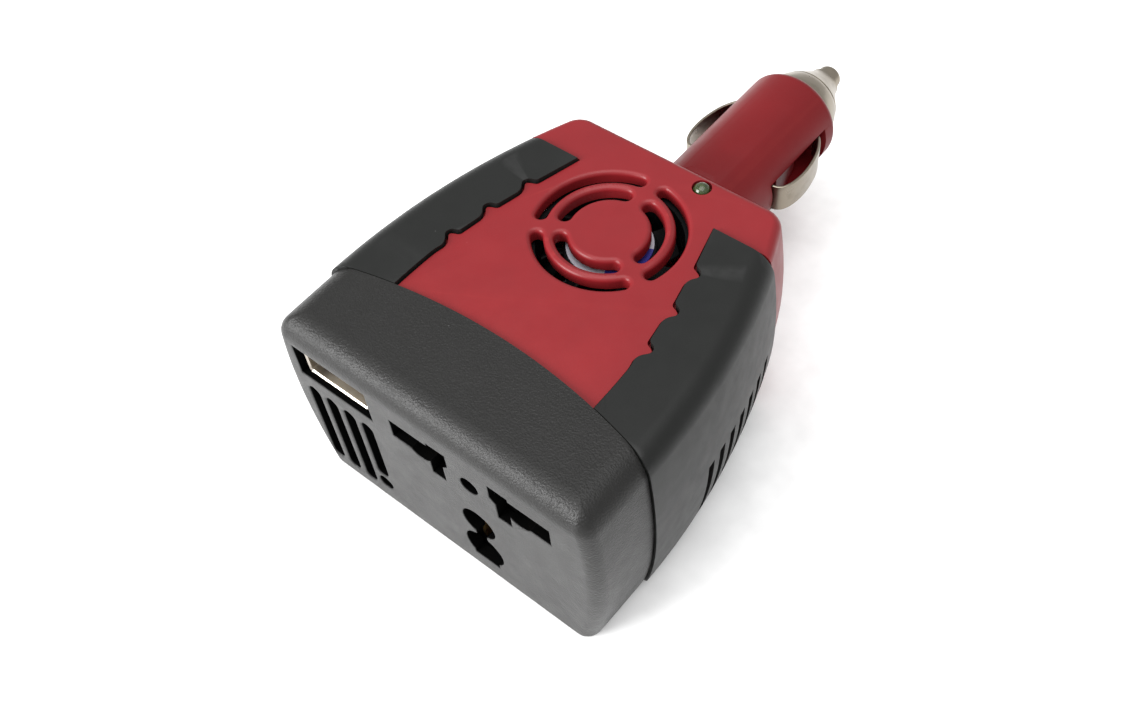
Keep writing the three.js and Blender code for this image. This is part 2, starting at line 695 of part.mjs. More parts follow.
function socketInsert() {
  const reach = POLE_ARM.outer + CLEARANCE + INSERT_MARGIN;
  const low = CAP_WALL + CLEARANCE;
  const high = POLE_INNER.high + INSERT_MARGIN + 1;
  let block = box(SOCKET_X - reach, SOCKET_X + reach, INSERT_FRONT, INSERT_REAR, low, high);
  for (const side of [-1, 1]) {
    const [x0, x1] = sorted(
      SOCKET_X + side * (POLE_CONTACT.inner - CLEARANCE),
      SOCKET_X + side * (POLE_ARM.outer + CLEARANCE),
    );
    const pocketLow = POLE_MIDDLE - POLE_HALF - CLEARANCE;
    const pocketHigh = POLE_MIDDLE + POLE_HALF + CLEARANCE;
    block = block.subtract(box(x0, x1, INSERT_FRONT - 1, POCKET_REAR, pocketLow, pocketHigh));
    block = block.subtract(tabSlot(SOCKET_X + side * POLE_ROUND.offset, POLE_MIDDLE));
  }
  const earthX = EARTH_HALF + CLEARANCE;
  const earthLow = EARTH_CONTACT.low - CLEARANCE;
  const earthHigh = EARTH_CONTACT.high + CLEARANCE;
  return block
    .subtract(box(SOCKET_X - earthX, SOCKET_X + earthX, INSERT_FRONT - 1, POCKET_REAR, earthLow, earthHigh))
    .subtract(tabSlot(SOCKET_X, (EARTH_CONTACT.low + EARTH_CONTACT.high) / 2));
}

function tabSlot(x, z) {
  const halfWidth = TAB_HALF + CLEARANCE;
  const halfHeight = CONTACT_THICKNESS / 2 + CLEARANCE;
  return box(x - halfWidth, x + halfWidth, POCKET_REAR - 1, INSERT_REAR + 1, z - halfHeight, z + halfHeight);
}

function contactTab(x, z) {
  const half = CONTACT_THICKNESS / 2;
  const from = POCKET_REAR - CLEARANCE - CONTACT_THICKNESS / 2;
  return box(x - TAB_HALF, x + TAB_HALF, from, INSERT_REAR + TAB_REACH, z - half, z + half);
}

// A folded strip: two leaves joined at the back of the pocket
function poleContact(side) {
  const [x0, x1] = sorted(SOCKET_X + side * POLE_CONTACT.inner, SOCKET_X + side * POLE_CONTACT.outer);
  const rear = POCKET_REAR - CLEARANCE;
  const front = INSERT_FRONT + 0.6;
  const gap = POLE_CONTACT_GAP / 2;
  return union([
    box(x0, x1, front, rear, POLE_MIDDLE + gap, POLE_MIDDLE + POLE_HALF),
    box(x0, x1, front, rear, POLE_MIDDLE - POLE_HALF, POLE_MIDDLE - gap),
    box(x0, x1, rear - CONTACT_THICKNESS, rear, POLE_MIDDLE - POLE_HALF, POLE_MIDDLE + POLE_HALF),
    contactTab(SOCKET_X + side * POLE_ROUND.offset, POLE_MIDDLE),
  ]);
}

function earthContact() {
  const { low, high } = EARTH_CONTACT;
  const rear = POCKET_REAR - CLEARANCE;
  const front = INSERT_FRONT + 0.6;
  const gap = EARTH_CONTACT_GAP / 2;
  return union([
    box(SOCKET_X + gap, SOCKET_X + EARTH_HALF, front, rear, low, high),
    box(SOCKET_X - EARTH_HALF, SOCKET_X - gap, front, rear, low, high),
    box(SOCKET_X - EARTH_HALF, SOCKET_X + EARTH_HALF, rear - CONTACT_THICKNESS, rear, low, high),
    contactTab(SOCKET_X, (low + high) / 2),
  ]);
}

// ---------------------------------------------------------------------------------------------------
// USB outlet on its own small board

function usbShell() {
  const { width, height, depth, wall, recess } = USB_SHELL;
  const x0 = USB_AT.x - width / 2;
  const z0 = USB_AT.z - height / 2;
  const outside = box(x0, x0 + width, recess, recess + depth, z0, z0 + height);
  const inside = box(x0 + wall, x0 + width - wall, -1, recess + depth - wall, z0 + wall, z0 + height - wall);
  return outside.subtract(inside);
}

function usbTongue() {
  const { width, height, depth, wall, recess } = USB_SHELL;
  const half = width / 2 - wall - CLEARANCE;
  const rear = recess + depth - wall - CLEARANCE;
  const low = USB_AT.z - height / 2 + wall + CLEARANCE;
  const high = USB_AT.z + height / 2 - wall - 0.7;
  const blade = box(USB_AT.x - half + 0.8, USB_AT.x + half - 0.8, recess + 1, rear, high - 1.8, high);
  return blade.add(box(USB_AT.x - half, USB_AT.x + half, rear - 3, rear, low, high));
}

const USB_BOARD_TOP = USB_AT.z - USB_SHELL.height / 2 - CLEARANCE;

function usbBoard() {
  const half = USB_SHELL.width / 2 + 0.1;
  return box(
    USB_AT.x - half,
    USB_AT.x + half,
    USB_SHELL.recess + 3,
    USB_SHELL.recess + USB_SHELL.depth + 4,
    USB_BOARD_TOP - BOARD_THICKNESS,
    USB_BOARD_TOP,
  );
}

// ---------------------------------------------------------------------------------------------------
// Circuit board and its components

function mainBoard() {
  const board = box(-BOARD_HALF_WIDTH, BOARD_HALF_WIDTH, BOARD_FRONT, BOARD_REAR, BOARD_LOW, BOARD_TOP);
  return board.subtract(boardHoles());
}

function boardScrew({ x, y }) {
  const head = rodZ(1.9, x, y, BOARD_TOP + CLEARANCE, BOARD_TOP + CLEARANCE + 1.4, 12);
  return head.add(rodZ(BOARD_SCREW_RADIUS, x, y, FLOOR + CLEARANCE, BOARD_TOP + 1, 10));
}

const CORE_LOW = ON_BOARD + 1;
const WINDOW_WIDTH = (TRANSFORMER.width - 4 * TRANSFORMER.leg) / 2;

function transformerCore() {
  const { width, depth, height, leg } = TRANSFORMER;
  const y0 = TRANSFORMER_AT - depth / 2;
  const y1 = TRANSFORMER_AT + depth / 2;
  const block = box(-width / 2, width / 2, y0, y1, CORE_LOW, CORE_LOW + height);
  const windows = [-1, 1].map((side) => {
    const [x0, x1] = sorted(side * leg, side * (leg + WINDOW_WIDTH));
    return box(x0, x1, y0 - 1, y1 + 1, CORE_LOW + leg, CORE_LOW + height - leg);
  });
  return block.subtract(union(windows));
}

function transformerWinding() {
  const { depth, height, leg } = TRANSFORMER;
  const outerX = leg + WINDOW_WIDTH - CLEARANCE;
  const outerY = depth / 2 + 3;
  const innerX = leg + CLEARANCE;
  const innerY = depth / 2 + CLEARANCE;
  const low = CORE_LOW + leg + CLEARANCE;
  const high = CORE_LOW + height - leg - CLEARANCE;
  const block = box(-outerX, outerX, TRANSFORMER_AT - outerY, TRANSFORMER_AT + outerY, low, high);
  return block.subtract(
    box(-innerX, innerX, TRANSFORMER_AT - innerY, TRANSFORMER_AT + innerY, low - 1, high + 1),
  );
}

function capacitor(x, height) {
  return rodZ(CAPACITOR.radius, x, CAPACITOR_AT, ON_BOARD, ON_BOARD + height, 20);
}

function filmCapacitor() {
  const { width, depth, height, fromRear } = FILM_CAPACITOR;
  const rear = BOARD_REAR - fromRear;
  return box(-width / 2, width / 2, rear - depth, rear, ON_BOARD, ON_BOARD + height);
}

function inputChoke() {
  const { inner, outer, height, x, fromRear } = CHOKE;
  const half = height / 2;
  const section = [
    [inner, -half],
    [outer, -half],
    [outer, half],
    [inner, half],
    [inner, -half],
  ];
  const points = section.map(([radius, z]) => new THREE.Vector2(radius, z));
  const geometry = new THREE.LatheGeometry(points, 20);
  return solid(geometry.rotateX(Math.PI / 2).translate(x, BOARD_REAR - fromRear, ON_BOARD + half));
}

function controlChip() {
  const { x, width, depth, height, fromRear } = CONTROL_CHIP;
  const rear = BOARD_REAR - fromRear;
  return box(x - width / 2, x + width / 2, rear - depth, rear, ON_BOARD, ON_BOARD + height);
}

const HEATSINK_THICKNESS = 1.5;
const TRANSISTOR = { width: 9, height: 14.6, thickness: 3.6, legPitch: 2.54, legHeight: 3.4 };
const TRANSISTOR_Y = [CAPACITOR_AT, TRANSFORMER_AT];

function heatsink(side) {
  const outer = BOARD_HALF_WIDTH - 0.6;
  const [x0, x1] = sorted(side * outer, side * (outer - HEATSINK_THICKNESS));
  const front = CAPACITOR_AT - TRANSISTOR.width / 2 + 2;
  const rear = TRANSFORMER_AT + TRANSISTOR.width / 2 + 1;
  return box(x0, x1, front, rear, ON_BOARD, ON_BOARD + TRANSISTOR.height + 1.5);
}

function transistor(side, y) {
  const back = BOARD_HALF_WIDTH - 0.6 - HEATSINK_THICKNESS - CLEARANCE;
  const front = back - TRANSISTOR.thickness;
  const half = TRANSISTOR.width / 2;
  const [x0, x1] = sorted(side * back, side * front);
  const body = box(x0, x1, y - half, y + half, ON_BOARD + TRANSISTOR.legHeight, ON_BOARD + TRANSISTOR.height);
  const middle = (x0 + x1) / 2;
  const legTop = ON_BOARD + TRANSISTOR.legHeight + 0.6;
  const legs = [-1, 0, 1].map((place) => {
    const legY = y + place * TRANSISTOR.legPitch;
    return box(middle - 0.3, middle + 0.3, legY - 0.4, legY + 0.4, ON_BOARD, legTop);
  });
  return body.add(union(legs));
}

// ---------------------------------------------------------------------------------------------------
// Fan

const FAN_PLATE_THICKNESS = 1.2;
const FAN_STRUT_WIDTH = 1.8;
const BLADE = { width: 6, thickness: 0.7, pitch: THREE.MathUtils.degToRad(38), root: 0.6 };

function fanFrame() {
  const half = FAN_SIZE / 2;
  const square = box(-half, half, FAN_AT - half, FAN_AT + half, FAN_LOW, FAN_TOP);
  let frame = square.subtract(rodZ(FAN_BORE_RADIUS, 0, FAN_AT, FAN_LOW - 1, FAN_TOP + 1, 32));
  const plateTop = FAN_LOW + FAN_PLATE_THICKNESS;
  const plate = rodZ(FAN_HUB_RADIUS, 0, FAN_AT, FAN_LOW, plateTop, 20);
  const struts = [0, 1, 2].map((i) => {
    const reach = FAN_BORE_RADIUS + 0.5;
    const strut = box(0, reach, -FAN_STRUT_WIDTH / 2, FAN_STRUT_WIDTH / 2, FAN_LOW, plateTop);
    return strut.rotate([0, 0, 30 + i * 120]).translate([0, FAN_AT, 0]);
  });
  frame = frame.add(plate).add(union(struts));
  return frame.subtract(fanScrewHoles(FAN_LOW - 1, FAN_TOP + 1));
}

const ROTOR_LOW = FAN_LOW + FAN_PLATE_THICKNESS + CLEARANCE;
const ROTOR_TOP = FAN_TOP - 0.9;

function fanRotor() {
  const hub = rodZ(FAN_HUB_RADIUS, 0, 0, ROTOR_LOW, ROTOR_TOP, 24);
  const reach = FAN_BORE_RADIUS - 0.6;
  const middle = (ROTOR_LOW + ROTOR_TOP) / 2;
  const blades = [];
  for (let i = 0; i < FAN_BLADES; i++) {
    const length = reach - FAN_HUB_RADIUS + BLADE.root;
    const blade = new THREE.BoxGeometry(length, BLADE.width, BLADE.thickness);
    blade.rotateX(BLADE.pitch);
    blade.translate(FAN_HUB_RADIUS - BLADE.root + length / 2, 0, middle);
    blade.rotateZ((i * 2 * Math.PI) / FAN_BLADES);
    blades.push(solid(blade));
  }
  const sweep = rodZ(reach, 0, 0, ROTOR_LOW, ROTOR_TOP, 32);
  return hub.add(union(blades).intersect(sweep)).translate([0, FAN_AT, 0]);
}

function fanLabel() {
  return rodZ(FAN_HUB_RADIUS - 0.5, 0, FAN_AT, ROTOR_TOP + CLEARANCE, ROTOR_TOP + CLEARANCE + 0.3, 24);
}

function fanScrew({ x, y }) {
  const head = rodZ(1.7, x, y, FAN_LOW - CLEARANCE - 1.2, FAN_LOW - CLEARANCE, 12);
  return head.add(rodZ(FAN_SCREW_RADIUS, x, y, FAN_LOW - 1, FAN_SCREW_TOP, 10));
}

// ---------------------------------------------------------------------------------------------------
// Status light

function statusLight() {
  const base = CEILING + CLEARANCE;
  const crown = BODY_HEIGHT - LED_RADIUS;
  const dome = arcPoints(0, crown, LED_RADIUS, 0, Math.PI / 2, 4);
  const points = [new THREE.Vector2(0, base), new THREE.Vector2(LED_RADIUS, base), ...dome.slice(0, -1)];
  points.push(new THREE.Vector2(0, crown + LED_RADIUS));
  const geometry = new THREE.LatheGeometry(points, 16);
  return solid(geometry.rotateX(Math.PI / 2).translate(LED_AT.x, LED_AT.y, 0));
}

// ---------------------------------------------------------------------------------------------------
// Screws that hold the shells and the grips together

const SCREW_HEAD_HEIGHT = 1.6;
const SCREW_CROSS = { reach: 1.3, half: 0.3, depth: 0.7 };

function caseScrew({ x, y }) {
  const headTop = FLOOR - SCREW_SEAT - CLEARANCE;
  const head = rodZ(SCREW_HEAD_RADIUS, x, y, headTop - SCREW_HEAD_HEIGHT, headTop, 16);
  const { reach, half, depth } = SCREW_CROSS;
  const crossTop = headTop - SCREW_HEAD_HEIGHT + depth;
  const cross = box(x - reach, x + reach, y - half, y + half, -1, crossTop).add(
    box(x - half, x + half, y - reach, y + reach, -1, crossTop),
  );
  return head.subtract(cross).add(rodZ(SCREW_SHANK_RADIUS, x, y, headTop - 0.5, SCREW_TOP, 10));
}

// ---------------------------------------------------------------------------------------------------
// Swivel tongue: fixed in the rear wall, it carries the plug's pivot pin

function swivelTongue() {
  const half = TONGUE_WIDTH / 2;
  const z = PLUG_AXIS_HEIGHT;
  const flangeRear = BODY_LENGTH - SHELL_WALL - CLEARANCE;
  const flangeTop = FAN_LOW - 2 * CLEARANCE;
  const flangeFront = flangeRear - TONGUE_FLANGE.thickness;
  const flangeLow = z - TONGUE_RADIUS - TONGUE_FLANGE.below;
  const flangeHalf = half + TONGUE_FLANGE.side;
  return box(-half, half, flangeRear - 1, PIVOT_Y, z - TONGUE_RADIUS, z + TONGUE_RADIUS)
    .add(rodX(TONGUE_RADIUS, PIVOT_Y, z, -half, half))
    .add(box(-flangeHalf, flangeHalf, flangeFront, flangeRear, flangeLow, flangeTop))
    .subtract(rodX(PIN_RADIUS + CLEARANCE, PIVOT_Y, z, -half - 1, half + 1, 12));
}

// ---------------------------------------------------------------------------------------------------
// Plug

function plugBody() {
  const rimStart = PLUG_END - PLUG_RIM_RADIUS;
  const rim = arcPoints(PLUG_RADIUS - PLUG_RIM_RADIUS, rimStart, PLUG_RIM_RADIUS, 0, 1.4, 4);
  const nutBore = NOSE_RADIUS + CLEARANCE;
  const nutSeat = PLUG_END - NUT_SKIRT_LENGTH - CLEARANCE;
  const boreStart = PIVOT_Y + FUSE_BORE_START;
  const barrel = turned([
    [0, PIVOT_Y - PLUG_RADIUS],
    [PLUG_RADIUS, PIVOT_Y - PLUG_RADIUS],
    ...rim.map((p) => [p.x, p.y]),
    [nutBore, PLUG_END],
    [nutBore, nutSeat],
    [FUSE_BORE_RADIUS, nutSeat],
    [FUSE_BORE_RADIUS, boreStart],
    [0, boreStart],
  ]);
  return barrel
    .intersect(knuckleSpace())
    .subtract(tongueSpace())
    .subtract(rodX(PIN_RADIUS + CLEARANCE, PIVOT_Y, PLUG_AXIS_HEIGHT, -FAR, FAR, 12))
    .subtract(clipSpace(1))
    .subtract(clipSpace(-1));
}

// The round knuckle end that turns clear of the rear wall
function knuckleSpace() {
  const ahead = box(-FAR, FAR, PIVOT_Y, 2 * FAR, -FAR, FAR);
  return ahead.add(rodX(PLUG_RADIUS, PIVOT_Y, PLUG_AXIS_HEIGHT, -FAR, FAR, 32));
}

// Room for the tongue as the plug swings from straight back to straight down
function tongueSpace() {
  const half = TONGUE_WIDTH / 2 + CLEARANCE;
  const round = TONGUE_RADIUS + 2 * CLEARANCE;
  const low = PLUG_AXIS_HEIGHT - PLUG_RADIUS - 1;
  const behind = box(-half, half, PIVOT_Y - PLUG_RADIUS - 1, PIVOT_Y, low, PLUG_AXIS_HEIGHT + round);
  const below = box(-half, half, PIVOT_Y - 1, PIVOT_Y + round, low, PLUG_AXIS_HEIGHT);
  return behind.add(below).add(rodX(round, PIVOT_Y, PLUG_AXIS_HEIGHT, -half, half));
}

function clipSpace(side) {
  const [x0, x1] = sorted(side * (CLIP_ROOT_X - CLIP_TRAVEL + 0.1), side * (PLUG_RADIUS + 2));
  const half = CLIP_WIDTH / 2 + CLEARANCE;
  const rear = CLIP_REAR - 0.8;
  const front = CLIP_REAR + CLIP_LENGTH + 0.8;
  return box(x0, x1, rear, front, PLUG_AXIS_HEIGHT - half, PLUG_AXIS_HEIGHT + half);
}

// A bowed leaf whose root turns sharply out of its slot and whose front end slides back into it
function springClip(side) {
  const rise = CLIP_REACH - CLIP_ROOT_X;
  const spine = new THREE.CatmullRomCurve3(
    [
      [CLIP_ROOT_X, CLIP_REAR],
      [CLIP_ROOT_X + 0.6 * rise, CLIP_REAR + 0.2],
      [CLIP_REACH - 0.12 * rise, CLIP_REAR + 0.11 * CLIP_LENGTH],
      [CLIP_REACH, CLIP_REAR + 0.3 * CLIP_LENGTH],
      [CLIP_REACH - 0.03 * rise, CLIP_REAR + 0.52 * CLIP_LENGTH],
      [CLIP_REACH - 0.2 * rise, CLIP_REAR + 0.75 * CLIP_LENGTH],
      [CLIP_REACH - 0.5 * rise, CLIP_REAR + 0.93 * CLIP_LENGTH],
      [CLIP_REACH - 0.8 * rise, CLIP_REAR + CLIP_LENGTH],
    ].map(([x, y]) => new THREE.Vector3(x, y, 0)),
  );
  const outer = [];
  const inner = [];
  for (let i = 0; i <= 20; i++) {
    const point = spine.getPoint(i / 20);
    const along = spine.getTangent(i / 20);
    const half = CLIP_THICKNESS / 2;
    outer.push(new THREE.Vector2(side * (point.x + along.y * half), point.y - along.x * half));
    inner.push(new THREE.Vector2(side * (point.x - along.y * half), point.y + along.x * half));
  }
  const points = [...outer, ...inner.reverse()];
  const shape = new THREE.Shape(side > 0 ? points : points.reverse());
  const half = CLIP_WIDTH / 2;
  return prismZ(shape, PLUG_AXIS_HEIGHT - half, PLUG_AXIS_HEIGHT + half);
}

const NOSE_LIP = 2.4;

// Retaining nut that screws into the plug's end and holds the fuse and the tip contact
function noseNut() {
  const skirtStart = PLUG_END - NUT_SKIRT_LENGTH;
  const flange = PLUG_END + CLEARANCE;
  const lip = NOSE_END - NOSE_LIP;
  return turned([
    [FUSE_BORE_RADIUS, skirtStart],
    [NOSE_RADIUS, skirtStart],
    [NOSE_RADIUS, flange],
    [NOSE_RADIUS + 0.9, flange],
    [NOSE_RADIUS + 0.7, flange + 0.9],
    [NOSE_RADIUS, NOSE_END - 6.8],
    [NOSE_RADIUS - 1, NOSE_END - 5],
    [NOSE_RADIUS - 2.2, NOSE_END - 3],
    [NOSE_RADIUS - 3.4, NOSE_END - 1],
    [TIP_RADIUS + 0.7, NOSE_END],
    [TIP_RADIUS + CLEARANCE, NOSE_END],
    [TIP_RADIUS + CLEARANCE, lip],
    [FUSE_BORE_RADIUS, lip],
    [FUSE_BORE_RADIUS, skirtStart],
  ]);
}

function tipContact() {
  const collar = NOSE_END - NOSE_LIP - CLEARANCE;
  const crown = TIP_END - TIP_EDGE_RADIUS;
  const dome = arcPoints(TIP_RADIUS - TIP_EDGE_RADIUS, crown, TIP_EDGE_RADIUS, 0, Math.PI / 2, 4);
  const profile = [
    [0, FUSE_FRONT + CLEARANCE],
    [FUSE_BORE_RADIUS - CLEARANCE, FUSE_FRONT + CLEARANCE],
    [FUSE_BORE_RADIUS - CLEARANCE, collar],
    [TIP_RADIUS, collar],
    ...dome.map((p) => [p.x, p.y]),
    [0, TIP_END],
  ];
  return turned(profile, 24);
}

const FUSE_CAP_LENGTH = 4;

function fuseCap(y0, y1) {
  return rodY(FUSE_RADIUS, 0, PLUG_AXIS_HEIGHT, y0, y1, 16);
}

function fuseGlass() {
  const y0 = FUSE_REAR + FUSE_CAP_LENGTH + CLEARANCE;
  const y1 = FUSE_FRONT - FUSE_CAP_LENGTH - CLEARANCE;
  const tube = rodY(FUSE_RADIUS - 0.2, 0, PLUG_AXIS_HEIGHT, y0, y1, 16);
  return tube.subtract(rodY(FUSE_RADIUS - 0.8, 0, PLUG_AXIS_HEIGHT, y0 - 1, y1 + 1, 16));
}

function fuseElement() {
  const y0 = FUSE_REAR + FUSE_CAP_LENGTH + CLEARANCE;
  const y1 = FUSE_FRONT - FUSE_CAP_LENGTH - CLEARANCE;
  return rodY(0.25, 0, PLUG_AXIS_HEIGHT, y0, y1, 6);
}

// Coil spring that pushes the fuse and the tip forwards
function tipSpring() {
  const start = PIVOT_Y + FUSE_BORE_START + CLEARANCE + TIP_SPRING_WIRE_RADIUS;
  const end = FUSE_REAR - CLEARANCE - TIP_SPRING_WIRE_RADIUS;
  const radius = FUSE_RADIUS - TIP_SPRING_WIRE_RADIUS;
  const points = [];
  const steps = TIP_SPRING_TURNS * 10;
  for (let i = 0; i <= steps; i++) {
    const angle = (i / 10) * 2 * Math.PI;
    const y = start + ((end - start) * i) / steps;
    points.push([radius * Math.cos(angle), y, PLUG_AXIS_HEIGHT + radius * Math.sin(angle)]);
  }
  return wire(points, TIP_SPRING_WIRE_RADIUS, steps, 6);
}

function swivelPin() {
  return rodX(PIN_RADIUS, PIVOT_Y, PLUG_AXIS_HEIGHT, -PIN_LENGTH / 2, PIN_LENGTH / 2, 12);
}

// ---------------------------------------------------------------------------------------------------
// Internal wires

// From the swivel tongue down to the rear of the board
function supplyWire(side) {
  const start = BODY_LENGTH - SHELL_WALL - 2 * CLEARANCE - TONGUE_FLANGE.thickness;
  const x = side * 2.2;
  const foot = BOARD_REAR - 6.2;
  const points = [
    [x, start - 0.2, PLUG_AXIS_HEIGHT - 2.6],
    [x, start - 2, PLUG_AXIS_HEIGHT - 3.2],
    [x, foot - 0.1, ON_BOARD + 5.6],
    [x, foot, ON_BOARD + 0.2],
  ];
  return wire(points, WIRE_RADIUS, 10);
}

// From a pole contact's tab down to the front of the board
function outputWire(side) {
  const top = SOCKET_X + side * POLE_ROUND.offset;
  const foot = SOCKET_X + side * 3;
  const y = BOARD_FRONT + 1;
  const points = [
    [top, INSERT_REAR + TAB_REACH + CLEARANCE, POLE_MIDDLE],
    [top, y - 2, POLE_MIDDLE - 1],
    [(top + foot) / 2, y, (POLE_MIDDLE + ON_BOARD) / 2],
    [foot, y, ON_BOARD + 3],
    [foot, y, ON_BOARD + 0.2],
  ];
  return wire(points, WIRE_RADIUS, 12);
}

// ---------------------------------------------------------------------------------------------------
// Materials

const finish = (color, roughness, metalness = 0) =>
  new THREE.MeshStandardMaterial({ color, roughness, metalness });

const CAP_BLACK = finish(0x2e2e2d, 0.55);
const GRIP_BLACK = finish(0x262726, 0.5);
const SHELL_RED = finish(0x9c1f26, 0.35);
const INSULATOR = finish(0x1c1c1c, 0.6);
const NICKEL = finish(0x9a8f82, 0.32, 1);
const BRASS = finish(0xb08d4a, 0.35, 1);
const STEEL = finish(0x8b8d90, 0.4, 1);
const WHITE_PLASTIC = finish(0xe4e2da, 0.45);
const LED_GREEN = finish(0x3f8a35, 0.15);
const BOARD_GREEN = finish(0x1f5a34, 0.5);
const FERRITE = finish(0x3a3a3e, 0.6);
const TAPE_YELLOW = finish(0xc9a227, 0.45);
const COPPER = finish(0xa4562e, 0.4, 1);
const SLEEVE_BLUE = finish(0x20306a, 0.35);
const ALUMINIUM = finish(0xb4b6b8, 0.45, 1);
const EPOXY_BLACK = finish(0x202022, 0.5);
const FILM_RED = finish(0x8c3a1c, 0.4);
const GLASS = finish(0xd8e2df, 0.08);
const WIRE_RED = finish(0xa51c1c, 0.45);
const WIRE_BLACK = finish(0x1b1b1b, 0.45);
const LABEL_WHITE = finish(0xdedde2, 0.4);

// ---------------------------------------------------------------------------------------------------
// Scene graph: y = 0 is moved to the middle of the whole object

const inverter = new THREE.Group();
inverter.position.y = -TIP_END / 2;

function place(name, body, material) {
  const { vertProperties, triVerts } = body.getMesh();
  const geometry = new THREE.BufferGeometry();
  geometry.setAttribute("position", new THREE.BufferAttribute(vertProperties, 3));
  geometry.setIndex(new THREE.BufferAttribute(triVerts, 1));
  geometry.computeVertexNormals();
  const mesh = new THREE.Mesh(geometry, material);
  mesh.name = name;
  inverter.add(mesh);
}

place("front_cap", frontCap(), CAP_BLACK);
place("upper_shell", upperShell(), SHELL_RED);
place("lower_shell", lowerShell(), SHELL_RED);
place("left_grip", grip(-1), GRIP_BLACK);
place("right_grip", grip(1), GRIP_BLACK);
screwPlaces().forEach((spot, i) => place("case_screw_" + (i + 1), caseScrew(spot), STEEL));
place("status_light", statusLight(), LED_GREEN);

place("socket_insert", socketInsert(), INSULATOR);
place("live_contact", poleContact(1), BRASS);
place("neutral_contact", poleContact(-1), BRASS);
place("earth_contact", earthContact(), BRASS);
place("usb_shell", usbShell(), NICKEL);
place("usb_tongue", usbTongue(), WHITE_PLASTIC);
place("usb_board", usbBoard(), BOARD_GREEN);

place("main_board", mainBoard(), BOARD_GREEN);
BOARD_POSTS.filter((post) => post.screwed).forEach((post, i) => {
  place("board_screw_" + (i + 1), boardScrew(post), STEEL);
});
place("transformer_core", transformerCore(), FERRITE);
place("transformer_winding", transformerWinding(), TAPE_YELLOW);
place("input_capacitor", capacitor(-CAPACITOR.x, CAPACITOR.inputHeight), SLEEVE_BLUE);
place("output_capacitor", capacitor(CAPACITOR.x, CAPACITOR.outputHeight), SLEEVE_BLUE);
place("film_capacitor", filmCapacitor(), FILM_RED);
place("input_choke", inputChoke(), COPPER);
place("control_chip", controlChip(), EPOXY_BLACK);
place("left_heatsink", heatsink(-1), ALUMINIUM);
place("right_heatsink", heatsink(1), ALUMINIUM);
let transistorNumber = 0;
for (const side of [-1, 1]) {
  for (const y of TRANSISTOR_Y) {
    transistorNumber += 1;
    place("transistor_" + transistorNumber, transistor(side, y), EPOXY_BLACK);
  }
}

place("fan_frame", fanFrame(), EPOXY_BLACK);
place("fan_rotor", fanRotor(), EPOXY_BLACK);
place("fan_label", fanLabel(), LABEL_WHITE);
FAN_SCREWS.forEach((spot, i) => place("fan_screw_" + (i + 1), fanScrew(spot), STEEL));

place("positive_wire", supplyWire(1), WIRE_RED);
place("negative_wire", supplyWire(-1), WIRE_BLACK);
place("live_wire", outputWire(1), WIRE_BLACK);
place("neutral_wire", outputWire(-1), WIRE_BLACK);

place("swivel_tongue", swivelTongue(), SHELL_RED);
place("swivel_pin", swivelPin(), STEEL);
place("plug_body", plugBody(), SHELL_RED);
place("left_clip", springClip(-1), NICKEL);
place("right_clip", springClip(1), NICKEL);
place("nose_nut", noseNut(), NICKEL);
place("tip_contact", tipContact(), NICKEL);
place("fuse_front_cap", fuseCap(FUSE_FRONT - FUSE_CAP_LENGTH, FUSE_FRONT), NICKEL);
place("fuse_rear_cap", fuseCap(FUSE_REAR, FUSE_REAR + FUSE_CAP_LENGTH), NICKEL);
place("fuse_glass", fuseGlass(), GLASS);
place("fuse_element", fuseElement(), STEEL);
place("tip_spring", tipSpring(), STEEL);

export default inverter;
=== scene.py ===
"""Looks of a pocket car power inverter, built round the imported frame.

Shapes are worked out in millimetres, with x across the housing, y from its front face towards the plug
and z up from the surface that it stands on. publish() turns them into metres in the frame's own axes.
"""
import math
import bmesh
import bpy
from mathutils import Matrix, Vector


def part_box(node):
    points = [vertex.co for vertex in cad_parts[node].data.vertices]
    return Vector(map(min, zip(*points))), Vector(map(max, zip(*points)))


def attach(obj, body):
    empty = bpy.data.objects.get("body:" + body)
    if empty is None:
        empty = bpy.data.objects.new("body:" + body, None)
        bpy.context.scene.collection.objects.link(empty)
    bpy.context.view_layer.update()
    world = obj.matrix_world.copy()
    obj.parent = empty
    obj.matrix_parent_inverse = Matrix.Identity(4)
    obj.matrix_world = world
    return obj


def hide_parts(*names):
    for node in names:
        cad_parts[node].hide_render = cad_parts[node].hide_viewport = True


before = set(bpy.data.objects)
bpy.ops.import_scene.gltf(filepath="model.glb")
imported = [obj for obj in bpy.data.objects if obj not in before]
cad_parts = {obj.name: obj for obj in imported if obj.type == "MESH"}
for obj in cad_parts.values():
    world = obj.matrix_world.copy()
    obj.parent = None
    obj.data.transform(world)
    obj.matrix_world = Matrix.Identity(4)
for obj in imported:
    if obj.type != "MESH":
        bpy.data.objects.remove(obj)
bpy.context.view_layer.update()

MM = 0.001
QUARTER = math.pi / 2
TURN = 2 * math.pi
FAR = 90.0
KEPT_EDGE = 0.12
FOCAL_LENGTH = 38.636


def node_box(node):
    """A CAD node's corners in millimetres, with y measured from the front face."""
    low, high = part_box(node)
    shift = Vector((0, FRONT, 0))
    return (low - shift) / MM, (high - shift) / MM


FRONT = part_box("front_cap")[0].y

# ---------------------------------------------------------------------------------------------------
# Sizes in millimetres: overall ones from the frame, details by name

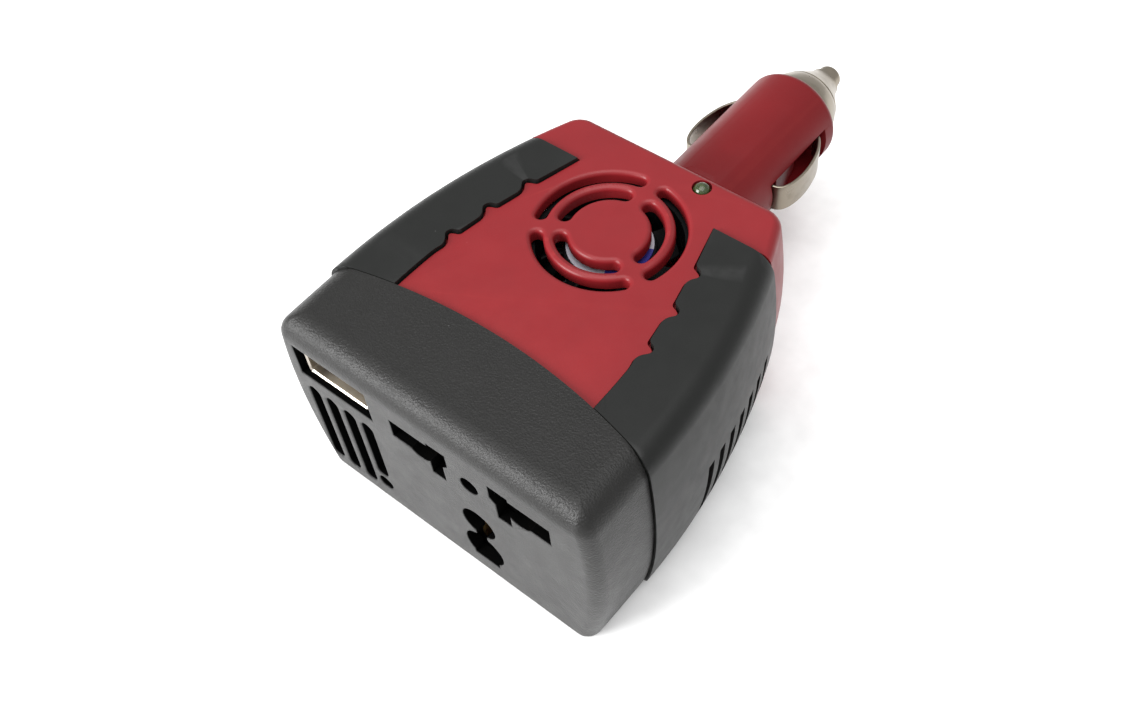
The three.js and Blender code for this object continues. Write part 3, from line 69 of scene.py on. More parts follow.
CAP_LOW, CAP_HIGH = node_box("front_cap")
SHELL_LOW, SHELL_HIGH = node_box("lower_shell")[0], node_box("upper_shell")[1]
GRIP_HIGH = node_box("right_grip")[1]
PLUG_LOW, PLUG_HIGH = node_box("plug_body")
NUT_LOW, NUT_HIGH = node_box("nose_nut")
TIP_LOW, TIP_HIGH = node_box("tip_contact")
CLIP_LOW, CLIP_HIGH = node_box("right_clip")
PIN_LOW, PIN_HIGH = node_box("swivel_pin")
TONGUE_LOW, TONGUE_HIGH = node_box("swivel_tongue")
ROTOR_LOW, ROTOR_HIGH = node_box("fan_rotor")
LABEL_LOW, LABEL_HIGH = node_box("fan_label")
LED_LOW, LED_HIGH = node_box("status_light")
USB_LOW, USB_HIGH = node_box("usb_shell")

BODY_LENGTH = SHELL_HIGH.y
BODY_HEIGHT = CAP_HIGH.z
HALF_WIDTH = CAP_HIGH.x
FRONT_BULGE = 0.2
REAR_TAPER = 10.0
WIDEST_AT = 14.4
FRONT_CORNER_RADIUS = 2.4
REAR_CORNER_RADIUS = 3.7
BOW_RADIUS = 76.0
BOW_HEIGHT = 22.2
BOW_BLEND = 12.0
GRIP_PROUD = GRIP_HIGH.x - HALF_WIDTH
CAP_TOP_FILLET = 4.0
CAP_LOW_FILLET = 1.8
SHELL_FILLET = 1.3
GRIP_TOP_FILLET = 3.3
GRIP_LOW_FILLET = 2.2
BED_FILLET = 2.0
SEAM_RADIUS = 103.0
SEAM_AT = CAP_HIGH.y + 0.15
SEAM_GAP = 0.12
CAP_WALL = 2.0
SHELL_WALL = 2.8
GRIP_RECESS = 1.2
CLEARANCE = 0.3
GROOVE = 0.32
SPLIT_HEIGHT = 19.0
SPLIT_GAP = 0.12

GRIP_INNER_X = 19.0
GRIP_INNER_X_REAR = 13.2
GRIP_REAR = BODY_LENGTH - 9.0
NOTCH_FIRST = 28.4
NOTCH_PITCH = 7.6
NOTCH_COUNT = 3
NOTCH_CORNERS = ((-2.9, -0.25, 0), (-2.0, 0.1, 1), (-0.75, 1.3, 1), (0.3, 1.15, -1), (0.85, -0.1, -1))
SIDE_VENT_WIDTH = 1.7
SIDE_VENT_FIRST = 26.9
SIDE_VENT_PITCH = 3.45
SIDE_VENT_COUNT = 7
SIDE_VENT_LOW = 5.0
SIDE_VENT_TOP = 20.5

FAN_AT = (ROTOR_LOW.y + ROTOR_HIGH.y) / 2
GRILLE_RINGS = ((6.5, 8.6), (10.2, 12.1))
GRILLE_SPOKE = 2.6
GRILLE_FILLET = 0.8
GRILLE_THICKNESS = 2.2
FAN_WELL_RADIUS = 13.0
HUB_RADIUS = 7.4
BLADE_COUNT = 7

SOCKET_X = 8.0
PLUG_AXIS = (PLUG_LOW.z + PLUG_HIGH.z) / 2
PLUG_RADIUS = (PLUG_HIGH.x - PLUG_LOW.x) / 2
PIVOT_Y = (PIN_LOW.y + PIN_HIGH.y) / 2
TONGUE_RADIUS = 4.2
TONGUE_HALF_WIDTH = 3.9
TONGUE_ROOM = TONGUE_HALF_WIDTH + CLEARANCE
PIN_BORE = 1.8
FUSE_BORE = 3.4
BORE_START = PIVOT_Y + TONGUE_RADIUS + 1.3
NUT_BORE = 6.9
NUT_SEAT_DEPTH = 3.1
RIM_RADIUS = 1.6
CLIP_ROOT = 6.2
CLIP_RISE = 4.8
CLIP_REACH = PLUG_RADIUS + 2.1
CLIP_REAR = PIVOT_Y + 6.7
CLIP_LENGTH = 15.3

# ---------------------------------------------------------------------------------------------------
# Mesh tools


def arc(x, y, radius, start, stop, steps):
    angles = [start + (stop - start) * i / steps for i in range(steps + 1)]
    return [(x + radius * math.cos(a), y + radius * math.sin(a)) for a in angles]


def mesh_object(name, vertices, faces):
    mesh = bpy.data.meshes.new(name)
    mesh.from_pydata([tuple(v) for v in vertices], [], faces)
    mesh.validate()
    obj = bpy.data.objects.new(name, mesh)
    bpy.context.scene.collection.objects.link(obj)
    return obj


def face_outwards(obj):
    bm = bmesh.new()
    bm.from_mesh(obj.data)
    bmesh.ops.recalc_face_normals(bm, faces=bm.faces)
    bm.to_mesh(obj.data)
    bm.free()
    return obj


def loft(name, rings, closed=False):
    """A solid through rings of equally many points; closed joins the last ring to the first."""
    count = len(rings[0])
    vertices = [point for ring in rings for point in ring]
    faces = []
    last = len(rings) if closed else len(rings) - 1
    for i in range(last):
        low, high = i * count, (i + 1) % len(rings) * count
        for j in range(count):
            k = (j + 1) % count
            faces.append((low + j, low + k, high + k, high + j))
    if not closed:
        faces.append(tuple(range(count))[::-1])
        faces.append(tuple(range(len(vertices) - count, len(vertices))))
    return face_outwards(mesh_object(name, vertices, faces))


def prism(outline, low, high, name="prism"):
    """A plan outline (x, y) raised from low to high."""
    return loft(name, [[(x, y, z) for x, y in outline] for z in (low, high)])


def block(x0, x1, y0, y1, z0, z1):
    return prism([(x0, y0), (x1, y0), (x1, y1), (x0, y1)], z0, z1, "block")


def turned(name, profile, axis_x, axis_z, segments=96):
    """A profile of (radius, y) points turned about a line along y; one off that line closes on itself."""
    bm = bmesh.new()
    rings = []
    for radius, y in profile:
        if radius < 1e-6:
            rings.append([bm.verts.new((axis_x, y, axis_z))])
            continue
        angles = [TURN * i / segments for i in range(segments)]
        points = [(axis_x + radius * math.cos(a), y, axis_z + radius * math.sin(a)) for a in angles]
        rings.append([bm.verts.new(p) for p in points])
    pairs = list(zip(rings, rings[1:]))
    if len(rings[0]) > 1:
        pairs.append((rings[-1], rings[0]))
    for a, b in pairs:
        for i in range(segments):
            j = (i + 1) % segments
            corners = [a[i % len(a)], a[j % len(a)], b[j % len(b)], b[i % len(b)]]
            bm.faces.new(list(dict.fromkeys(corners)))
    bmesh.ops.recalc_face_normals(bm, faces=bm.faces)
    mesh = bpy.data.meshes.new(name)
    bm.to_mesh(mesh)
    bm.free()
    obj = bpy.data.objects.new(name, mesh)
    bpy.context.scene.collection.objects.link(obj)
    return obj


def upright(name, profile, x, y, segments=48):
    """A profile of (radius, z) points turned about a vertical axis."""
    obj = turned(name, profile, 0, 0, segments)
    obj.data.transform(Matrix.Translation((x, y, 0)) @ Matrix.Rotation(QUARTER, 4, "X"))
    return face_outwards(obj)


def rod(axis, radius, centre, low, high, segments=32):
    """A cylinder along "x", "y" or "z" between low and high; centre is its place across that axis."""
    profile = [(0, low), (radius, low), (radius, high), (0, high)]
    obj = turned("rod", profile, 0, 0, segments)
    if axis == "x":
        obj.data.transform(Matrix.Translation((0, *centre)) @ Matrix.Rotation(-QUARTER, 4, "Z"))
    elif axis == "y":
        obj.data.transform(Matrix.Translation((centre[0], 0, centre[1])))
    else:
        obj.data.transform(Matrix.Translation((*centre, 0)) @ Matrix.Rotation(QUARTER, 4, "X"))
    return face_outwards(obj)


def settle(obj):
    """Applies the object's modifiers to its mesh."""
    graph = bpy.context.evaluated_depsgraph_get()
    mesh = bpy.data.meshes.new_from_object(obj.evaluated_get(graph))
    obj.modifiers.clear()
    obj.data = mesh
    return obj


def combine(obj, *tools, operation="DIFFERENCE"):
    """Cuts the tools from obj, or joins or intersects them with it, and deletes them."""
    for tool in tools:
        modifier = obj.modifiers.new("boolean", "BOOLEAN")
        modifier.operation = operation
        modifier.object = tool
        modifier.solver = "MANIFOLD"
        settle(obj)
        bpy.data.objects.remove(tool)
    return obj


def cut(obj, *tools):
    return combine(obj, *tools)


def join(obj, *tools):
    return combine(obj, *tools, operation="UNION")


def common(obj, tool):
    return combine(obj, tool, operation="INTERSECT")


def copy_of(obj):
    twin = bpy.data.objects.new(obj.name + "_copy", obj.data.copy())
    bpy.context.scene.collection.objects.link(twin)
    return twin


def grown(outline, distance):
    """The closed outline with every side moved outwards; the outline runs anticlockwise."""
    result = []
    count = len(outline)
    for i in range(count):
        before, here, after = (Vector(outline[(i + k) % count]) for k in (-1, 0, 1))
        first, second = (here - before).normalized(), (after - here).normalized()
        one = Vector((first.y, -first.x))
        two = Vector((second.y, -second.x))
        middle = (one + two).normalized()
        reach = distance / max(0.4, middle.dot(one))
        result.append((here.x + middle.x * reach, here.y + middle.y * reach))
    return result


def flared(outline, fillet, depth, place, steps=4):
    """A cutter whose mouth widens by a fillet: place(u, v, depth) puts each point below the surface."""
    rings = [[place(u, v, -1.0) for u, v in grown(outline, fillet)]]
    for i in range(steps + 1):
        below = fillet * i / steps
        reach = fillet - math.sqrt(max(0, fillet**2 - (fillet - below) ** 2))
        rings.append([place(u, v, below) for u, v in grown(outline, reach)])
    rings.append([place(u, v, depth) for u, v in outline])
    return loft("flared", rings)


def soften(obj, width, segments=2, angle=50, where=None):
    """Rounds the sharp edges, all of them or those whose middle where() accepts."""
    bm = bmesh.new()
    bm.from_mesh(obj.data)
    bmesh.ops.triangulate(bm, faces=[face for face in bm.faces if len(face.verts) > 4])
    bmesh.ops.remove_doubles(bm, verts=bm.verts, dist=0.002)
    limit = math.radians(angle)
    edges = []
    for edge in bm.edges:
        if len(edge.link_faces) == 2 and edge.calc_face_angle(0) > limit:
            middle = (edge.verts[0].co + edge.verts[1].co) / 2
            if where is None or where(middle):
                edges.append(edge)
    bmesh.ops.bevel(
        bm, geom=edges, offset=width, segments=segments, profile=0.5, affect="EDGES", clamp_overlap=True
    )
    bm.to_mesh(obj.data)
    bm.free()
    return obj


def shade(obj, angle=32):
    for polygon in obj.data.polygons:
        polygon.use_smooth = True
    obj.data.set_sharp_from_angle(angle=math.radians(angle))
    weighted = obj.modifiers.new("normals", "WEIGHTED_NORMAL")
    weighted.keep_sharp = True


def publish(obj, name, material, body, *nodes):
    """Puts a finished millimetre mesh into the frame as a piece that stands for CAD nodes."""
    obj.name = name
    obj.data.name = name
    obj.data.transform(Matrix.Translation((0, FRONT, 0)) @ Matrix.Scale(MM, 4))
    obj.data.materials.clear()
    obj.data.materials.append(material)
    shade(obj)
    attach(obj, body)
    if nodes:
        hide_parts(*nodes)
    return obj


# ---------------------------------------------------------------------------------------------------
# Materials


class Look:
    """A node material on the object's own coordinates, which are metres in the frame."""

    def __init__(self, name, color, roughness, metallic=0.0, coat=0.0):
        self.material = bpy.data.materials.new(name)
        self.material.use_nodes = True
        self.tree = self.material.node_tree
        self.shader = self.tree.nodes["Principled BSDF"]
        self.shader.inputs["Metallic"].default_value = metallic
        self.shader.inputs["Coat Weight"].default_value = coat
        self.shader.inputs["Coat Roughness"].default_value = 0.15
        self.color = color
        self.place = self.add("ShaderNodeTexCoord").outputs["Object"]
        self.height = None
        self.vary(color, roughness)

    def add(self, kind, **values):
        node = self.tree.nodes.new(kind)
        for key, value in values.items():
            setattr(node, key, value)
        return node

    def link(self, source, target):
        self.tree.links.new(source, target)

    def noise(self, size_mm, detail=3.0, roughness=0.5, stretch=(1, 1, 1)):
        mapping = self.add("ShaderNodeMapping")
        mapping.inputs["Scale"].default_value = stretch
        self.link(self.place, mapping.inputs["Vector"])
        noise = self.add("ShaderNodeTexNoise")
        noise.inputs["Scale"].default_value = 1 / (size_mm * MM)
        noise.inputs["Detail"].default_value = detail
        noise.inputs["Roughness"].default_value = roughness
        self.link(mapping.outputs["Vector"], noise.inputs["Vector"])
        return noise.outputs["Fac"]

    def ranged(self, value, low, high, start=0.3, stop=0.7):
        node = self.add("ShaderNodeMapRange")
        node.inputs["From Min"].default_value = start
        node.inputs["From Max"].default_value = stop
        node.inputs["To Min"].default_value = low
        node.inputs["To Max"].default_value = high
        self.link(value, node.inputs["Value"])
        return node.outputs["Result"]

    def blend(self, factor, first, second):
        node = self.add("ShaderNodeMix", data_type="RGBA")
        self.link(factor, node.inputs["Factor"])
        for socket, value in ((node.inputs[6], first), (node.inputs[7], second)):
            if isinstance(value, tuple):
                socket.default_value = (*value, 1)
            else:
                self.link(value, socket)
        return node.outputs[2]

    def vary(self, color, roughness, size_mm=7.0, share=0.05, spread=0.035):
        """Slow drift of colour and gloss over the surface."""
        cloud = self.noise(size_mm)
        dark = tuple(c * (1 - share) for c in color)
        light = tuple(min(1, c * (1 + share)) for c in color)
        self.paint = self.blend(self.ranged(cloud, 0, 1), dark, light)
        self.link(self.paint, self.shader.inputs["Base Color"])
        gloss = self.ranged(self.noise(size_mm * 0.4), roughness - spread, roughness + spread)
        self.link(gloss, self.shader.inputs["Roughness"])

    def repaint(self, factor, color):
        self.paint = self.blend(factor, self.paint, color)
        self.link(self.paint, self.shader.inputs["Base Color"])
        return self

    def worn(self, color, strength=0.5, start=0.53, stop=0.6):
        """Lighter where edges are rubbed."""
        pointed = self.add("ShaderNodeNewGeometry").outputs["Pointiness"]
        broken = self.noise(1.6)
        edge = self.ranged(pointed, 0, strength, start, stop)
        both = self.add("ShaderNodeMath", operation="MULTIPLY")
        self.link(edge, both.inputs[0])
        self.link(broken, both.inputs[1])
        return self.repaint(both.outputs["Value"], color)

    def specks(self, color, size_mm=1.4, amount=0.06):
        """Fine dust specks."""
        cells = self.add("ShaderNodeTexVoronoi")
        cells.inputs["Scale"].default_value = 1 / (size_mm * MM)
        self.link(self.place, cells.inputs["Vector"])
        near = self.ranged(cells.outputs["Distance"], 1, 0, amount * 0.5, amount)
        rare = self.ranged(self.noise(size_mm * 2.2), 0, 0.6, 0.62, 0.68)
        both = self.add("ShaderNodeMath", operation="MULTIPLY")
        self.link(near, both.inputs[0])
        self.link(rare, both.inputs[1])
        return self.repaint(both.outputs["Value"], color)

    def bump(self, height, depth_mm, strength=1.0):
        node = self.add("ShaderNodeBump")
        node.inputs["Strength"].default_value = strength
        node.inputs["Distance"].default_value = depth_mm * MM
        self.link(height, node.inputs["Height"])
        if self.height is not None:
            self.link(self.height, node.inputs["Normal"])
        self.height = node.outputs["Normal"]
        self.link(self.height, self.shader.inputs["Normal"])
        return self

    def grain(self, size_mm, depth_mm, detail=2.0):
        return self.bump(self.noise(size_mm, detail, 0.6), depth_mm)


def plastic(name, color, roughness, grain_mm, depth_mm, wear=None, coat=0.0, level=0.5):
    look = Look(name, color, roughness, coat=coat)
    look.shader.inputs["Specular IOR Level"].default_value = level
    look.grain(grain_mm, depth_mm)
    if wear:
        look.worn(wear)
    return look


def metal(name, color, roughness, stretch=(1, 1, 1), tarnish=None):
    look = Look(name, color, roughness, metallic=1.0)
    look.bump(look.noise(0.35, 3.0, 0.6, stretch), 0.006, 0.6)
    if tarnish:
        look.repaint(look.ranged(look.noise(2.6, 4.0), 0, 0.7, 0.5, 0.72), tarnish)
    return look


CAP_BLACK = plastic("cap_black", (0.0115, 0.0113, 0.0108), 0.36, 0.3, 0.11, (0.05, 0.05, 0.05), level=0.27)
CAP_BLACK.grain(0.9, 0.03).specks((0.3, 0.3, 0.3))
GRIP_BLACK = plastic("grip_black", (0.0085, 0.009, 0.0085), 0.42, 0.22, 0.012, (0.04, 0.04, 0.04), level=0.24)
GRIP_BLACK.specks((0.25, 0.25, 0.25), 1.9)
SHELL_RED = plastic("shell_red", (0.178, 0.0095, 0.0125), 0.38, 0.26, 0.007, (0.24, 0.02, 0.02), level=0.3)
SHELL_RED.specks((0.5, 0.2, 0.2), 2.0, 0.05)
PLUG_RED = plastic("plug_red", (0.135, 0.006, 0.008), 0.4, 0.3, 0.008, (0.16, 0.012, 0.012), level=0.2)
INSULATOR = plastic("insulator", (0.002, 0.002, 0.002), 0.7, 0.3, 0.02, level=0.03)
# Painted shade: a near-black, almost unreflective material for the walls of the front panel's holes, which
# are the cap's own black plastic in shade.
HOLE_WALL_SHADE = plastic("painted_hole_wall_shade", (0.0012, 0.0012, 0.0012), 0.7, 0.4, 0.01, level=0.02)
NICKEL = metal("nickel", (0.3, 0.262, 0.21), 0.3, (1, 0.15, 1), (0.2, 0.17, 0.13))
BRIGHT = metal("bright_nickel", (0.46, 0.42, 0.37), 0.3, (1, 0.2, 1), (0.3, 0.26, 0.21))
BRASS = metal("brass", (0.62, 0.42, 0.16), 0.32, (1, 0.2, 1), (0.3, 0.17, 0.06))
STEEL = metal("steel", (0.5, 0.5, 0.51), 0.38, (1, 1, 0.3), (0.28, 0.27, 0.26))
ALUMINIUM = metal("aluminium", (0.66, 0.67, 0.68), 0.4, (1, 0.1, 1), (0.45, 0.45, 0.46))
WHITE_PLASTIC = plastic("white_plastic", (0.76, 0.74, 0.68), 0.4, 0.4, 0.01)
FERRITE = plastic("ferrite", (0.06, 0.06, 0.066), 0.6, 0.15, 0.03)
TAPE = plastic("winding_tape", (0.62, 0.38, 0.03), 0.35, 0.8, 0.03)
SLEEVE = plastic("capacitor_sleeve", (0.016, 0.035, 0.16), 0.3, 1.2, 0.01)
EPOXY = plastic("epoxy_black", (0.006, 0.006, 0.0065), 0.6, 0.2, 0.02, level=0.12)
FILM = plastic("dipped_film", (0.3, 0.05, 0.016), 0.3, 1.5, 0.04)
WIRE_RED = plastic("wire_red", (0.4, 0.014, 0.014), 0.4, 0.9, 0.02)
WIRE_BLACK = plastic("wire_black", (0.014, 0.014, 0.014), 0.4, 0.9, 0.02)


def board_look():
    """Green solder mask with lighter copper tracks under it."""
    look = Look("board_green", (0.014, 0.105, 0.04), 0.35)
    cells = look.add("ShaderNodeTexBrick")
    cells.inputs["Scale"].default_value = 1 / (4.0 * MM)
    cells.inputs["Mortar Size"].default_value = 0.09
    look.link(look.place, cells.inputs["Vector"])
    look.repaint(cells.outputs["Fac"], (0.05, 0.22, 0.07))
    return look.bump(cells.outputs["Fac"], 0.03)


def copper_look():
    """Wound enamelled wire: fine rounded turns, with painted shade darkening the grooves between them."""
    look = Look("copper_winding", (0.45, 0.14, 0.05), 0.28, metallic=1.0)
    turns = look.add("ShaderNodeTexWave", wave_type="RINGS")
    turns.inputs["Scale"].default_value = 1 / (2.2 * MM)
    look.link(look.place, turns.inputs["Vector"])
    # Painted shade: darker copper where the turns' bump is low, in the grooves between turns.
    look.repaint(look.ranged(turns.outputs["Fac"], 0.5, 0), (0.18, 0.04, 0.015))
    return look.bump(turns.outputs["Fac"], 0.2)


def glass_look():
    look = Look("fuse_glass", (0.8, 0.86, 0.85), 0.05)
    look.shader.inputs["Transmission Weight"].default_value = 0.9
    return look.grain(2.0, 0.01)


def light_look():
    """Tinted clear resin with a paler core, unlit."""
    look = Look("led_green", (0.05, 0.075, 0.02), 0.2, coat=0.2)
    look.shader.inputs["Transmission Weight"].default_value = 0.35
    look.shader.inputs["Subsurface Weight"].default_value = 0.3
    look.shader.inputs["Subsurface Radius"].default_value = (0.0006, 0.0012, 0.0005)
    look.repaint(look.ranged(look.noise(0.7, 2.0), 0, 0.6), (0.015, 0.03, 0.01))
    return look.grain(0.9, 0.03)


def label_look():
    """White paper disc with a plain blue sector towards +x."""
    look = Look("fan_label", (0.42, 0.41, 0.46), 0.35, coat=0.3)
    split = look.add("ShaderNodeSeparateXYZ")
    look.link(look.place, split.inputs["Vector"])
    centred = look.add("ShaderNodeMath", operation="SUBTRACT")
    look.link(split.outputs["Y"], centred.inputs[0])
    centred.inputs[1].default_value = FRONT + FAN_AT * MM
    angle = look.add("ShaderNodeMath", operation="ARCTAN2")
    look.link(centred.outputs["Value"], angle.inputs[0])
    look.link(split.outputs["X"], angle.inputs[1])
    turned_back = look.add("ShaderNodeMath", operation="ADD")
    look.link(angle.outputs["Value"], turned_back.inputs[0])
    turned_back.inputs[1].default_value = 0.3
    away = look.add("ShaderNodeMath", operation="ABSOLUTE")
    look.link(turned_back.outputs["Value"], away.inputs[0])
    look.repaint(look.ranged(away.outputs["Value"], 1, 0, 0.74, 0.76), (0.03, 0.028, 0.2))
    return look.grain(0.5, 0.004)


BOARD = board_look()
COPPER = copper_look()
GLASS = glass_look()
LED = light_look()
LABEL = label_look()

# ---------------------------------------------------------------------------------------------------
# Housing outline and regions

REAR_REACH = BODY_LENGTH - WIDEST_AT
FRONT_SIDE_RADIUS = (WIDEST_AT**2 + FRONT_BULGE**2) / (2 * FRONT_BULGE)
REAR_SIDE_RADIUS = (REAR_REACH**2 + REAR_TAPER**2) / (2 * REAR_TAPER)


def corner_arc(side_radius, radius, end_y, inward):
    """Centre, radius and meeting angle of the corner between a side arc and an end line."""
    radius = max(radius, 0.4)
    y = end_y + inward * radius
    x = math.sqrt((side_radius - radius) ** 2 - (y - WIDEST_AT) ** 2)
    return x, y, radius, math.atan2(y - WIDEST_AT, x)


def housing_outline(grow):
    """The housing seen from above, anticlockwise, grown outwards."""
    front_x = HALF_WIDTH - FRONT_SIDE_RADIUS
    rear_x = HALF_WIDTH - REAR_SIDE_RADIUS
    front_side, rear_side = FRONT_SIDE_RADIUS + grow, REAR_SIDE_RADIUS + grow
    fx, fy, fr, fa = corner_arc(front_side, FRONT_CORNER_RADIUS + grow, -grow, 1)
    rx, ry, rr, ra = corner_arc(rear_side, REAR_CORNER_RADIUS + grow, BODY_LENGTH + grow, -1)
    right = arc(front_x + fx, fy, fr, -QUARTER, fa, 14)
    right += arc(front_x, WIDEST_AT, front_side, fa, 0, 8)[1:]
    right += arc(rear_x, WIDEST_AT, rear_side, 0, ra, 30)[1:]
    right += arc(rear_x + rx, ry, rr, ra, QUARTER, 14)[1:]
    return right + [(-x, y) for x, y in reversed(right)]


def level_ring(grow, z):
    """The grown outline at the height z, drawn in at the sides by the bow of their section."""
    inset = BOW_RADIUS - math.sqrt(BOW_RADIUS**2 - (z - BOW_HEIGHT) ** 2)
    ring = []
    for x, y in housing_outline(grow):
        share = max(-1.0, min(1.0, x / BOW_BLEND))
        ring.append((x - share * inset, y, z))
    return ring


def levels(low, high, count=12):
    return [low + (high - low) * i / count for i in range(1, count)]


def casing(grow, low, high, top_fillet, low_fillet, steps=8):
    """The bowed housing as a solid with rounded top and bottom edges."""
    rings = []
    for fillet, base, sign in ((low_fillet, low, 1), (top_fillet, high, -1)):
        ends = []
        for i in range(steps + 1):
            angle = QUARTER * i / steps
            inset = fillet * (1 - math.sin(angle))
            ends.append(level_ring(grow - inset, base + sign * fillet * (1 - math.cos(angle))))
        if sign > 0:
            rings += ends + [level_ring(grow, z) for z in levels(low + low_fillet, high - top_fillet)]
        else:
            rings += ends[::-1]
    return loft("casing", rings)


def hollow(grow, low, high):
    return loft("hollow", [level_ring(grow, z) for z in [low, *levels(low, high), high]])


def before_seam(shift):
    """Everything in front of the seam, which bows towards the rear."""
    edge = SEAM_AT + shift
    swing = math.asin((HALF_WIDTH + 6) / SEAM_RADIUS)
    bow = arc(0, edge - SEAM_RADIUS, SEAM_RADIUS, QUARTER - swing, QUARTER + swing, 60)
    corners = [(-FAR, bow[-1][1]), (-FAR, -FAR), (FAR, -FAR), (FAR, bow[0][1])]
    return prism(bow + corners, -FAR, FAR, "before_seam")


def grip_inner_x(y):
    share = (y - SEAM_AT) / (GRIP_REAR - SEAM_AT)
    return GRIP_INNER_X - (GRIP_INNER_X - GRIP_INNER_X_REAR) * share * abs(share)


def softened(points, most=0.25):
    """The open line with each inner corner cut back by most, or by a third of a shorter side."""
    result = [points[0]]
    for before, here, after in zip(points, points[1:], points[2:]):
        for other in (before, after):
            step = Vector(other) - Vector(here)
            result.append(tuple(Vector(here) + step * min(0.33, most / step.length)))
    return result + [points[-1]]


def grip_region(side, grow):
    """The plan of one grip, with hooked notches along its inner edge."""
    line = [(grip_inner_x(y) - grow, y) for y in range(0, 25, 2)]
    for i in range(NOTCH_COUNT):
        place = NOTCH_FIRST + i * NOTCH_PITCH
        for along, out, slide in NOTCH_CORNERS:
            line.append((grip_inner_x(place + along) + out - grow, place + along + slide * grow))
    line.append((grip_inner_x(GRIP_REAR) - grow, GRIP_REAR + grow))
    line = softened(softened(line), 0.1)
    line += [(FAR, GRIP_REAR + grow), (FAR, 0)]
    edge = [(side * x, y) for x, y in line]
    return prism(edge if side < 0 else edge[::-1], -FAR, FAR, "grip_region")


def side_vents():
    cutters = []
    for i in range(SIDE_VENT_COUNT):
        y = SIDE_VENT_FIRST + i * SIDE_VENT_PITCH
        half = SIDE_VENT_WIDTH / 2
        cutters.append(block(-FAR, FAR, y - half, y + half, SIDE_VENT_LOW, SIDE_VENT_TOP))
    return cutters


CASE_SCREWS = [node_box("case_screw_" + str(i)) for i in (1, 2, 3, 4)]


def screw_holes():
    cutters = []
    for low, high in CASE_SCREWS:
        centre = ((low.x + high.x) / 2, (low.y + high.y) / 2)
        radius = (high.x - low.x) / 2 + CLEARANCE
        cutters.append(rod("z", radius, centre, -1, high.z, 40))
    return cutters


# ---------------------------------------------------------------------------------------------------
# Front cap


def panel(u, v, depth):
    """A point of the front face: u across, v up, depth behind it."""
    return (u, depth, v)


def round_slot(x, low, high, width):
    radius = width / 2
    return arc(x, high - radius, radius, 0, math.pi, 10) + arc(x, low + radius, radius, math.pi, TURN, 10)


def pole_outline(side):
    """One pole of the universal socket: flat blade, round pin and wide bar in one hole."""
    arm_low, arm_high, arm_end = 26.5, 30.55, 15.1
    blade_in, blade_out = 5.05, 7.65
    inner, inner_low, inner_high, blade_low = 4.0, 28.2, 31.2, 23.6
    bump_start = math.asin((28.0 - arm_low) / 2.4)
    bump = arc(9.5, 28.0, 2.4, math.pi + bump_start, TURN - bump_start, 10)
    points = [(inner, inner_high), (inner, inner_low), (blade_in, inner_low - 1), (blade_in, blade_low)]
    points += [(blade_out, blade_low), (blade_out, 26.4)]
    points += [point for point in bump if point[0] > blade_out + 0.2]
    points += [(arm_end, arm_low), (arm_end, arm_high), (blade_out, arm_high), (blade_out, inner_high)]
    points = [(SOCKET_X + side * x, z) for x, z in points]
    return points if side > 0 else points[::-1]


def earth_outline():
    """Two joined round holes, the lower one with a flat foot."""
    upper_meet = math.acos(1.1 / 3.2)
    lower_meet = math.acos(1.1 / 3.75)
    foot_meet = math.acos(2.5 / 3.75)
    upper = arc(0, 16.2, 3.2, -upper_meet, math.pi + upper_meet, 24)
    lower_left = arc(0, 8.6, 3.75, math.pi - lower_meet, math.pi + foot_meet, 14)
    foot = [(-2.5, 4.8), (2.5, 4.8)]
    lower_right = arc(0, 8.6, 3.75, -foot_meet, lower_meet, 14)
    return [(SOCKET_X + x, z) for x, z in upper + lower_left + foot + lower_right]


def front_cutters():
    depth = 2 * CAP_WALL
    usb = ((USB_LOW.x + USB_HIGH.x) / 2, (USB_LOW.z + USB_HIGH.z) / 2)
    width, height = 7.65, 3.4
    mouth = [(usb[0] + sx * width, usb[1] + sz * height) for sx, sz in ((-1, -1), (1, -1), (1, 1), (-1, 1))]
    holes = [(mouth, 0.25)]
    for i in range(4):
        x = -25.5 + 3.87 * i
        holes.append((round_slot(x, 8.6 if i == 3 else 3.8, 23.2, 2.4), 0.35))
    holes.append((arc(-13.9, 6.3, 1.45, 0, TURN, 24)[:-1], 0.25))
    holes.append((arc(SOCKET_X, 27.05, 1.65, 0, TURN, 24)[:-1], 0.2))
    holes.append((pole_outline(1), 0.15))
    holes.append((pole_outline(-1), 0.15))
    holes.append((earth_outline(), 0.15))
    return [flared(outline, fillet, depth, panel) for outline, fillet in holes]


def near_seam(point):
    bow = SEAM_AT - SEAM_RADIUS + math.sqrt(SEAM_RADIUS**2 - point.x**2)
    return abs(point.y - bow) < 0.6


def front_cap():
    cap = casing(0, CAP_LOW.z, CAP_HIGH.z, CAP_TOP_FILLET, CAP_LOW_FILLET)
    common(cap, before_seam(-SEAM_GAP / 2))
    cut(cap, hollow(-CAP_WALL, CAP_WALL, BODY_HEIGHT - CAP_WALL))
    cut(cap, *front_cutters())
    soften(cap, 0.22, where=near_seam)
    publish(cap, "front_cap_skin", CAP_BLACK.material, "housing", "front_cap")
    paint_hole_wall_shade(cap)


def paint_hole_wall_shade(cap):
    """Paints shade on the walls of the panel's holes: a smooth, near-black, nearly unreflective material
    stands for the shade inside them.
    """
    cap.data.materials.append(HOLE_WALL_SHADE.material)
    for polygon in cap.data.polygons:
        middle = (polygon.center - Vector((0, FRONT, 0))) / MM
        in_panel = abs(middle.x) < 27.2 and 3.2 < middle.z < 33.4 and 0.12 < middle.y < 5
        # faces of the hole walls get the painted shade material
        if in_panel and abs(polygon.normal.y) < 0.6:
            polygon.material_index = 1


# ---------------------------------------------------------------------------------------------------
# Shells


